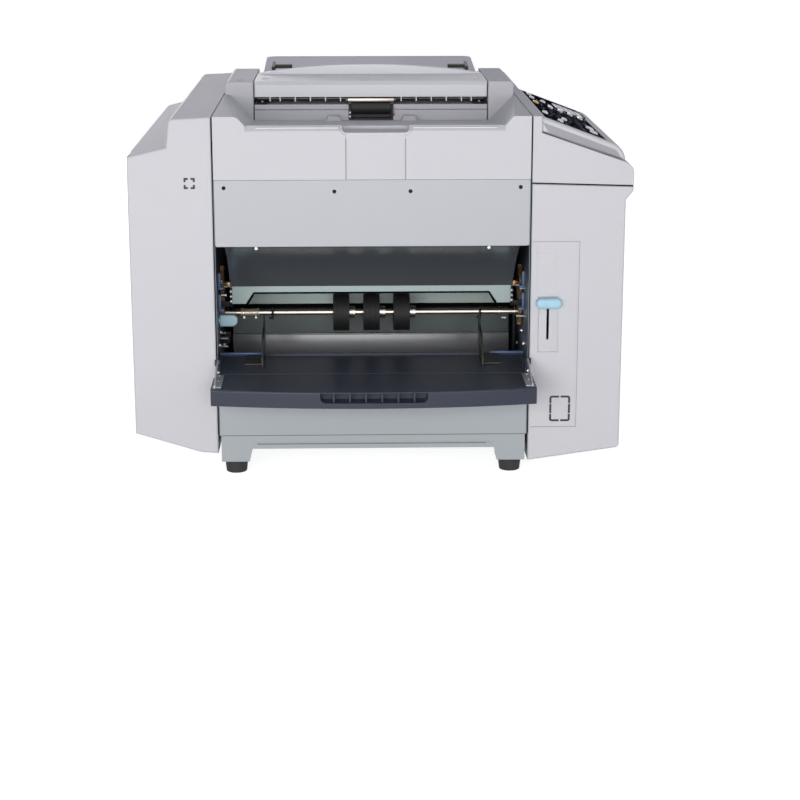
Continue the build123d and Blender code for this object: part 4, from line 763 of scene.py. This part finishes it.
@piece(sleeve_tan, "feed_roller_unit")
def shaft_sleeve(form):
    """Tan bush over the shaft's left end, with a flange at each end and fine grooves between."""
    length = 0.0260
    bore, root, body, flange = 0.0050, 0.0055, 0.0057, 0.0064
    rim = 0.0016
    neck = 0.0020
    grooves = 8
    step = (length - 2 * neck) / grooves
    profile = [(0.0, bore), (0.0, flange), (rim, flange), (neck, body)]
    for n in range(grooves):
        start = neck + n * step
        profile += [(start + step * share, radius) for share, radius in
                    ((0.30, body), (0.45, root), (0.75, root), (0.90, body))]
    profile += [(length - rim, flange), (length, flange), (length, bore)]
    turned(form, profile, (sleeve_x - length / 2, shaft_y, shaft_z), (1, 0, 0), 40)


@piece(bright_steel, "feed_roller_unit")
def shaft_rings(form):
    """Retaining rings near the shaft's ends."""
    for face, side in frame_faces:
        for step in (0.0100, 0.0320):
            place = (face + side * step, shaft_y, shaft_z)
            turned(form, washer(0.0010, 0.0040, 0.0062), place, (side, 0, 0), 28)


@piece(dark_plastic)
def sheet_sensors(form):
    """Small black sensor fins that stand in front of the shaft, each on a foot."""
    back = shaft_y - 0.0045
    for x in (-0.1516, 0.1424):
        rounded_block(form, around(x, 0.0016), (back - 0.0030, back),
                      (shaft_z - 0.006, shaft_z + 0.0075), 0.0007)
        rounded_block(form, (x - 0.0050, x + 0.0016), (back - 0.0025, back),
                      (shaft_z - 0.0085, shaft_z - 0.0050), 0.0007)


@piece(bright_steel)
def sensor_spring(form):
    """Small bright coil under the shaft's right end."""
    coil(form, (0.1735, shaft_y - 0.0020, shaft_z - 0.0090), (1, 0, 0), 4, 0.0016, 0.0014, 0.0024)


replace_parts(add_piece("grooved_rollers", grooved_rollers(), roller_rubber, "feed_roller_unit"),
            "feed_rollers")


# Feed tray
# Dark glossy moulding with a curved lip, on steel arms; the inner plate rises with the paper.
# Steel wear strips run down its sides, and blue strips on its back edge are a painted reflection of a bluish
# glint on its rim.
# The tray's edges, its lip most of all, are lightened by a strong painted highlight (edge=1.5).
tray_gloss = textured("tray_gloss", (0.032, 0.038, 0.058), 0.36, 300.0, 0.05, tone=0.1, spread=0.05,
                      edge=1.5, width=0.0012)
set_shine(tray_gloss, 0.3)
guide_black = textured("guide_black", (0.012, 0.012, 0.013), 0.45, 900.0, 0.3)
blue_glint_paint = textured("blue_glint_paint", (0.10, 0.19, 0.38), 0.35, 700.0, 0.2)
strip_steel = textured("strip_steel", (0.42, 0.43, 0.45), 0.32, 300.0, 0.1, metallic=0.3)
dress(tray_gloss, "feed_tray", "tray_plate")
dress(guide_black, "paper_guide_left", "paper_guide_right", "original_guide_left", "original_guide_right",
      "roller_frame", "power_inlet", "power_switch")
dress(strip_steel, "tray_arms")
tray_low, tray_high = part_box("feed_tray")
plate_low, plate_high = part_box("tray_plate")


@piece(strip_steel, "feed_tray_unit")
def side_strips(form):
    """Polished steel strips along the tray's sides, folded over its edge."""
    edge = 0.0075
    for x, side in ((tray_low[0] + edge, -1), (tray_high[0] - edge, 1)):
        across = sorted((x - side * 0.0060, x + side * 0.0050))
        rounded_block(form, across, (tray_low[1] + 0.028, tray_high[1] - 0.006),
                      (tray_high[2] - 0.0002, tray_high[2] + 0.0010), 0.0004)
        for along in (0.060, 0.088):
            screw_head(form, (x, tray_low[1] + along, tray_high[2] + 0.0006), (0, 0, 1), 0.0018)


@piece(bright_steel, "feed_tray_unit")
def pivot_screws(form):
    """Screw heads on the inner faces of the tray arms, at the pivots and half way along."""
    arms_low, arms_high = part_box("tray_arms")
    thickness = 0.0020
    for x, side in ((arms_low[0] + thickness, 1), (arms_high[0] - thickness, -1)):
        for back, down in ((0.0035, 0.0042), (0.022, 0.0130)):
            screw_head(form, (x, arms_high[1] - back, arms_high[2] - down), (side, 0, 0), 0.0020)


@piece(blue_glint_paint, "tray_lift")
def back_edge_glints(form):
    """Painted reflection: blue strips on the inner plate's back edge, at both sides of the paper guides,
    standing for a bluish glint on its rim.
    """
    left, right = plate_low[0], plate_high[0]
    for across in ((left + 0.002, left + 0.062), (right - 0.050, right - 0.002)):
        rounded_block(form, across, (plate_high[1] - 0.0055, plate_high[1] - 0.0004),
                      (0.1436, 0.1462), 0.0008)


# Levers
# Pale blue gloss mouldings: every part that the operator may touch is blue.
# The pressure knob has fine grip ridges across its face.
lever_blue = textured("lever_blue", (0.42, 0.68, 0.82), 0.28, 700.0, 0.1)
# The feed lever's blue is a lighter copy of the lever blue: painted light for a lever that sits in the
# shaded bay.
lever_blue_lit = textured("lever_blue_lit", (0.58, 0.85, 0.94), 0.3, 700.0, 0.1)
dress(lever_blue, "pressure_knob")
dress(lever_blue_lit, "feed_lever")


def knob_ridge():
    """One fine grip ridge on the pressure knob's face: a short rounded bar."""
    form = bmesh.new()
    low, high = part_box("pressure_knob")
    start = low[0] + 0.0075
    rounded_block(form, (start, start + 0.0008), (low[1] - 0.0001, low[1] + 0.0006),
                  (low[2] + 0.0026, high[2] - 0.0026), 0.0003, 1)
    return mesh_of("knob_ridge", form)


ridge_pitch = 0.0015
add_piece("knob_ridges", repeated("knob_ridges", knob_ridge(), lever_blue, 14, (ridge_pitch, 0.0, 0.0)),
          lever_blue, "pressure_knob_unit")


# Control panel
# Sloped housing with a dark printed membrane, white and yellow keys and a display window.
# Its legends are plain strokes and small lamps; the front edge carries a band of fine slanted ribs, coloured
# dark grey over a dark line as painted shade.
membrane_film = textured("membrane_film", (0.011, 0.012, 0.022), 0.5, 800.0, 0.05, edge=0.0)
set_shine(membrane_film, 0.0)
window_glass = textured("window_glass", (0.30, 0.32, 0.46), 0.2, 300.0, 0.02, edge=0.0)
key_white = textured("key_white", (0.92, 0.92, 0.93), 0.22, 900.0, 0.1)
key_yellow = textured("key_yellow", (0.80, 0.50, 0.07), 0.35, 900.0, 0.1)
legend_white = textured("legend_white", (0.55, 0.56, 0.60), 0.5, 900.0, 0.1)
lamp_green = textured("lamp_green", (0.10, 0.42, 0.16), 0.25, 700.0, 0.1)
lamp_red = textured("lamp_red", (0.50, 0.05, 0.04), 0.25, 700.0, 0.1)
segment_dark = textured("segment_dark", (0.035, 0.05, 0.09), 0.4, 700.0, 0.1)
band_shade_dark = textured("band_shade_dark", (0.05, 0.048, 0.07), 0.5, 900.0, 0.2)
rib_shade_grey = textured("rib_shade_grey", (0.24, 0.24, 0.27), 0.5, 900.0, 0.2)
keys = [name for name in nodes if name.endswith("_key") or name.startswith("menu_key")]
dress(membrane_film, "panel_membrane")
dress(window_glass, "display_window")
dress(key_white, "feed_ribs")
panel_slope = math.radians(20.5)
housing_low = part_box("control_panel")[0]
film_low, film_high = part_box("panel_membrane")
film_width = (film_high[0] - film_low[0]) / math.cos(panel_slope)
film_length = film_high[1] - film_low[1]
panel_across = Vector((math.cos(panel_slope), 0, -math.sin(panel_slope)))
panel_along = Vector((0, 1, 0))
panel_up = panel_across.cross(panel_along)
panel_corner = Vector((film_low[0] + 0.0003, film_low[1], film_high[2]))


def on_panel(across, along, up=0.0):
    """A place on the membrane: across the slope, back along the machine, and above the film."""
    return panel_corner + panel_across * across + panel_along * along + panel_up * up


def panel_stroke(form, across, along, width, length):
    """A thin printed stroke on the membrane, centred on a place."""
    rise = 0.0001
    corners = []
    for a, b in ((-1, -1), (1, -1), (1, 1), (-1, 1)):
        corners.append(on_panel(across + a * width / 2, along + b * length / 2, rise))
    form.faces.new([form.verts.new(corner) for corner in corners])


def key_place(name):
    """Where a key's middle is on the membrane, and its size across and along."""
    low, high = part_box(name)
    middle = (Vector(low) + Vector(high)) / 2 - panel_corner
    return middle.dot(panel_across), middle.dot(panel_along), high[0] - low[0], high[1] - low[1]


def squared(value, power=0.75):
    """A sine or cosine drawn out towards 1, so that a circle turns into a squarer oval."""
    return math.copysign(abs(value) ** power, value)


def key_cap(name):
    """A crowned oval cap for one key, with a soft shoulder, standing through the film."""
    form = bmesh.new()
    across, along, wide, long = key_place(name)
    half = (wide * 0.38, long / 2)
    levels = ((1.0, -0.0006), (1.0, 0.0006), (0.97, 0.0010), (0.90, 0.0014), (0.76, 0.0018), (0.52, 0.0021),
              (0.26, 0.0023))
    steps = 32
    rings = []
    for share, up in levels:
        inset = (1 - share) * min(half)
        ring = []
        for n in range(steps):
            angle = n / steps * 2 * math.pi
            x, y = squared(math.cos(angle)) * half[0], squared(math.sin(angle)) * half[1]
            reach = max(math.hypot(x, y), 1e-6)
            keep = (reach - inset) / reach
            ring.append(form.verts.new(on_panel(across + x * keep, along + y * keep, up)))
        rings.append(ring)
    for first, second in zip(rings, rings[1:]):
        for n in range(steps):
            form.faces.new((first[n - 1], first[n], second[n], second[n - 1]))
    form.faces.new(rings[-1])
    return mesh_of(name + "_cap", form, 50.0)


@piece(legend_white, toward=panel_up)
def panel_legends(form):
    """Caption strokes beside each key, ruled lines that group the keys, and rows of short captions."""
    line = 0.0006
    narrow_key = 0.012
    for name in keys:
        across, along, wide, long = key_place(name)
        panel_stroke(form, across + wide / 2 + 0.0026, along, line, long * 0.72)
        if wide < narrow_key:
            panel_stroke(form, across + wide / 2 + 0.0042, along - long * 0.08, 0.0005, long * 0.46)
    for along in (0.110, 0.126, 0.172, 0.244):
        panel_stroke(form, film_width / 2, along, film_width - 0.016, line)
    for share in (0.30, 0.66):
        panel_stroke(form, film_width * share, 0.056, line, 0.090)
    for n in range(6):
        for along, width in ((0.040, 0.0065), (0.118, 0.0075), (0.142, 0.0060), (0.152, 0.0075)):
            panel_stroke(form, 0.012 + n * 0.0125, along, width, 0.0010)
    for n in range(9):
        panel_stroke(form, 0.010 + n * 0.0085, 0.014 + 0.0040 * (n % 3), 0.0005, 0.0120)
        panel_stroke(form, 0.013 + n * 0.0085, 0.091 + 0.0030 * (n % 2), 0.0005, 0.0090)
    panel_stroke(form, film_width / 2, film_length - 0.005, film_width - 0.020, 0.0008)
    panel_stroke(form, film_width - 0.0012, film_length / 2, 0.0011, film_length - 0.008)


def panel_lamps(name, first, pitch, across):
    """A row of three small round indicator lamps."""
    form = bmesh.new()
    for n in range(3):
        place = on_panel(across, first + n * pitch, -0.0001)
        turned(form, [(0.0, 0.0014), (0.0003, 0.0013), (0.0005, 0.0008)], place, panel_up, 16)
    return mesh_of(name, form)


@piece(segment_dark, toward=panel_up)
def display_segments(form):
    """Rows of dark dashes on the display's glass, as on a plain character display."""
    across, along, _, long = key_place("display_window")
    for row in range(4):
        for cell in range(9):
            panel_stroke(form, across - 0.014 + row * 0.0085, along + long * (cell * 0.09 - 0.36),
                         0.0030, long * 0.055)


@piece(membrane_film, smooth=60.0)
def display_frame(form):
    """A thin raised bezel round the display."""
    across, along, wide, long = key_place("display_window")
    gap = 0.0012
    width = 0.0012
    height = 0.0006
    bend = 8
    half_wide = wide / 2 / math.cos(panel_slope) + gap
    half_long = long / 2 + gap
    round_corner = half_wide * 0.82
    inner, outer = [], []
    for quarter, (sx, sy) in enumerate(((1, 1), (-1, 1), (-1, -1), (1, -1))):
        for n in range(bend + 1):
            angle = (quarter + n / bend) * math.pi / 2
            for ring, radius in ((inner, round_corner), (outer, round_corner + width)):
                ring.append((across + sx * (half_wide - round_corner) + radius * math.cos(angle),
                             along + sy * (half_long - round_corner) + radius * math.sin(angle)))
    rows = []
    for ring, rise in ((outer, 0.0), (outer, height), (inner, height), (inner, 0.0)):
        rows.append([form.verts.new(on_panel(x, y, rise)) for x, y in ring])
    for first, second in zip(rows, rows[1:]):
        for n in range(len(first)):
            form.faces.new((first[n - 1], first[n], second[n], second[n - 1]))


def fronted(form, front_places, back_places):
    """A shallow raised form with a front face and four sides, whose open back lies in the housing."""
    front = [form.verts.new(place) for place in front_places]
    back = [form.verts.new(place) for place in back_places]
    form.faces.new(front)
    for n in range(4):
        form.faces.new((front[n - 1], front[n], back[n], back[n - 1]))


@piece(band_shade_dark)
def rib_shade_band(form):
    """Painted shade: a dark line under the ribs on the panel's front edge."""
    start = Vector((housing_low[0] + 0.0020, housing_low[1] - 0.0002, film_high[2] - 0.0185))
    far = start + panel_across * 0.111
    down = Vector((0, 0, -0.0030))
    lean = Vector((0.0008, 0, 0))
    depth = Vector((0, 0.0008, 0))
    corners = (start, far, far + down, start + down + lean)
    fronted(form, corners, [corner + depth for corner in corners])


def panel_rib():
    """One slanted rib of the band on the panel's front edge, leaning along the slope; the ribs are coloured
    dark grey as painted shade between them.
    """
    form = bmesh.new()
    length, lean, depth, width = 0.0140, 0.0090, 0.0009, 0.0008
    top = Vector((housing_low[0] + 0.0008, housing_low[1] - 0.0001, film_high[2] - 0.0062))
    corners = ((0.0, 0.0), (width, 0.0), (width + lean, -length), (lean, -length))
    fronted(form, [top + Vector((x + width * 0.15, -depth, z)) for x, z in corners],
            [Vector((top[0] + x, top[1] + 0.0006, top[2] + z)) for x, z in corners])
    return mesh_of("panel_rib", form)


for key in keys:
    cap_paint = key_yellow if key == "process_key" else key_white
    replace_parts(add_piece(key + "_cap", key_cap(key), cap_paint, key + "_unit"), key)
add_piece("start_lamps", panel_lamps("start_lamps", 0.118, 0.006, 0.074), lamp_green, "machine")
add_piece("fault_lamps", panel_lamps("fault_lamps", 0.232, 0.008, 0.036), lamp_red, "machine")
rib_pitch = 0.0030
add_piece("panel_ribs", repeated("panel_ribs", panel_rib(), rib_shade_grey, 35, tuple(panel_across * rib_pitch)),
          rib_shade_grey, "machine")


# Original feeder
# Light moulded bed and lid, white ribs over a thin shaft, a black roller in its frame.
# A bronze spring clip and two pins show beside the roller, and black brackets close the slot's ends.
lid_plastic = textured("lid_plastic", (0.80, 0.80, 0.82), 0.45, 1400.0, 0.3, tone=0.025, edge=0.2)
wire_steel = textured("wire_steel", (0.16, 0.155, 0.15), 0.4, 400.0, 0.1, metallic=0.9)
dress(lid_plastic, "feeder_lid")
dress(wire_steel, "feeder_shaft")
bed_low, bed_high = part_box("feeder_bed")
roller_low, roller_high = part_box("original_roller")
holder_low, holder_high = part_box("roller_frame")


@piece(bush_bronze)
def roller_spring(form):
    """Bronze leaf spring on the roller frame's right cheek: a bent strip with a coil end."""
    x = holder_high[0] + 0.0002
    y = holder_low[1] - 0.0008
    rounded_block(form, (x, x + 0.0008), around(y, 0.0006),
                  (bed_low[2] + 0.0125, holder_high[2] - 0.0035), 0.0003)
    place = (x - 0.0001, y - 0.0012, bed_low[2] + 0.0165)
    turned(form, washer(0.0018, 0.0012, 0.0026), place, (1, 0, 0), 20)


@piece(shaft_steel, "feeder_lid_unit")
def roller_bar(form):
    """Tan metal bar over the roller, between the guide ribs."""
    rounded_block(form, (roller_low[0] - 0.0012, roller_high[0] + 0.0012),
                  (roller_low[1] + 0.0030, roller_low[1] + 0.0052), (0.4742, 0.4788), 0.0007)


@piece(key_white)
def roller_pins(form):
    """Two pale pins on the roller frame's left cheek, one above the other."""
    for up in (0.0060, 0.0115):
        place = (holder_low[0] + 0.0022, holder_low[1] + 0.0002, holder_low[2] + up)
        turned(form, [(0.0, 0.0016), (0.0016, 0.0016), (0.0022, 0.0009)], place, feed_side, 16)


@piece(dark_plastic)
def slot_brackets(form):
    """Black brackets at both ends of the slot, under the lid."""
    near, far = 0.0035, 0.0185
    for across in ((bed_low[0] + near, bed_low[0] + far), (bed_high[0] - far, bed_high[0] - near)):
        rounded_block(form, across, (bed_low[1] + 0.0022, bed_low[1] + 0.030),
                      (bed_high[2] + 0.0001, bed_high[2] + 0.0035), 0.0006)


@piece(bright_steel)
def slot_screws(form):
    """A small bright screw on each slot bracket."""
    for x in (bed_low[0] + 0.011, bed_high[0] - 0.011):
        screw_head(form, (x, bed_low[1] + 0.0092, bed_high[2] + 0.0033), (0, 0, 1), 0.0017)


# Original tray, receiving tray and drum
# Grey moulded trays: one lifts on the rear top cover, the other folds down from the back.
# The print drum is a perforated steel cylinder inside the machine.
tray_grey = textured("tray_grey", (0.50, 0.50, 0.56), 0.45, 900.0, 0.3)
drum_steel = textured("drum_steel", (0.35, 0.36, 0.38), 0.35, 400.0, 0.2, metallic=0.8)
dress(tray_grey, "original_tray", "receiving_tray")
dress(drum_steel, "print_drum")


# Rear connections and screws
# The black rocker switch carries the usual printed marks for on and off.
# Dark screws hold the side covers along their back edges.
switch_low, switch_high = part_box("power_switch")
switch_x = (switch_low[0] + switch_high[0]) / 2
switch_z = (switch_low[2] + switch_high[2]) / 2
mark_y = switch_high[1] + 0.00008
mark_reach = 0.0052


@piece(legend_white, "power_switch_unit", toward=(0, 1, 0))
def switch_marks(form):
    """A bar for on and a ring for off, printed on the switch's two halves."""
    top, foot = switch_z + mark_reach, switch_z - mark_reach
    half, height = 0.0004, 0.0016
    corners = ((-half, -height), (-half, height), (half, height), (half, -height))
    form.faces.new([form.verts.new((switch_x + x, mark_y, top + z)) for x, z in corners])
    steps = 24
    inner, outer = [], []
    for n in range(steps):
        angle = 2 * math.pi * n / steps
        for ring, radius in ((inner, 0.0013), (outer, 0.0018)):
            ring.append(form.verts.new((switch_x + radius * math.cos(angle), mark_y,
                                        foot + radius * math.sin(angle))))
    for n in range(steps):
        form.faces.new((inner[n - 1], outer[n - 1], outer[n], inner[n]))


@piece(dark_plastic)
def cover_screws(form):
    """Screws along the back edges of both side covers."""
    back_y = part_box("left_cover")[1][1]
    for x, heights in ((-0.2600, (0.060, 0.240, 0.430)), (0.2450, (0.060, 0.220, 0.375))):
        for z in heights:
            screw_head(form, (x, back_y, z), (0, 1, 0), 0.0032)


# Studio
# A pale floor that keeps the machine's shadow, broad soft lamps in front and behind, and a weak sky.
# Camera, mirrors and glass see floor and sky as white, and neither adds light to the machine by that.

def sees_white(tree):
    """The socket that is 1 for a ray from the camera, a mirror or a glass, and 0 for any other light."""
    ray = add_node(tree, "LightPath")
    found = ray.outputs["Is Camera Ray"]
    for kind in ("Is Glossy Ray", "Is Transmission Ray"):
        found = add_node(tree, "Math", {0: found, 1: ray.outputs[kind]}, "MAXIMUM").outputs[0]
    return found


floor_reach = 12.0
floor_glow = 0.84
floor_mesh = bpy.data.meshes.new("studio_floor")
floor_corners = [(x * floor_reach, y * floor_reach, 0) for x, y in ((-1, -1), (1, -1), (1, 1), (-1, 1))]
floor_mesh.from_pydata(floor_corners, [], [(0, 1, 2, 3)])
floor = bpy.data.objects.new("studio_floor", floor_mesh)
bpy.context.collection.objects.link(floor)
floor_paint, floor_tree, floor_shader = new_material("floor_paint", (0.72, 0.72, 0.72), 0.9)
set_shine(floor_paint, 0.1)
glow = add_node(floor_tree, "Math", {0: sees_white(floor_tree), 1: floor_glow}, "MULTIPLY")
floor_shader.inputs["Emission Color"].default_value = (1, 1, 1, 1)
floor_tree.links.new(glow.outputs[0], floor_shader.inputs["Emission Strength"])
floor_mesh.materials.append(floor_paint)

world = bpy.data.worlds.new("studio_sky")
bpy.context.scene.world = world
world.use_nodes = True
sky = world.node_tree
background = sky.nodes["Background"]
background.inputs["Color"].default_value = (0.82, 0.82, 1.0, 1.0)
background.inputs["Strength"].default_value = 0.27
white = add_node(sky, "Background", {"Color": (1, 1, 1, 1), "Strength": 1.0})
choice = add_node(sky, "MixShader", {"Fac": sees_white(sky), 1: background.outputs["Background"],
                                     2: white.outputs["Background"]})
sky.links.new(choice.outputs["Shader"], sky.nodes["World Output"].inputs["Surface"])


def soft_lamp(name, place, size, power):
    """A rectangular soft lamp that points at the machine."""
    aim = Vector((0, 0, 0.3))
    lamp = bpy.data.lights.new(name, "AREA")
    lamp.shape = "RECTANGLE"
    lamp.size, lamp.size_y = size
    lamp.energy = power
    holder = bpy.data.objects.new(name, lamp)
    holder.location = place
    holder.rotation_euler = (aim - Vector(place)).to_track_quat("-Z", "Y").to_euler()
    bpy.context.collection.objects.link(holder)


soft_lamp("front_lamp", (-0.5, -3.0, 0.52), (2.6, 1.4), 66.0)
soft_lamp("side_lamp", (2.6, -1.2, 1.0), (1.2, 1.2), 9.0)
soft_lamp("back_lamp", (-1.0, 3.0, 0.45), (2.4, 1.0), 42.0)


# Camera
# Looks at the feed side from a little above, as the photograph does.
# Its lens, place and angles come from the machine's measured edges in an 800-pixel frame.
lens_pixels = 1925.9
frame_pixels = 800.0
sensor = 36.0
camera_yaw = 0.0275
camera_pitch = 0.2583
camera_data = bpy.data.cameras.new("photo_camera")
camera_data.sensor_width = sensor
camera_data.lens = lens_pixels / frame_pixels * sensor
camera_data.clip_start = 0.05
camera = bpy.data.objects.new("photo_camera", camera_data)
camera.location = (-0.04478, -2.78930, 0.76811)
camera.rotation_euler = (math.pi / 2 - camera_pitch, 0.0, -camera_yaw)
bpy.context.collection.objects.link(camera)
bpy.context.scene.camera = camera
bpy.context.scene.view_settings.view_transform = "Standard"
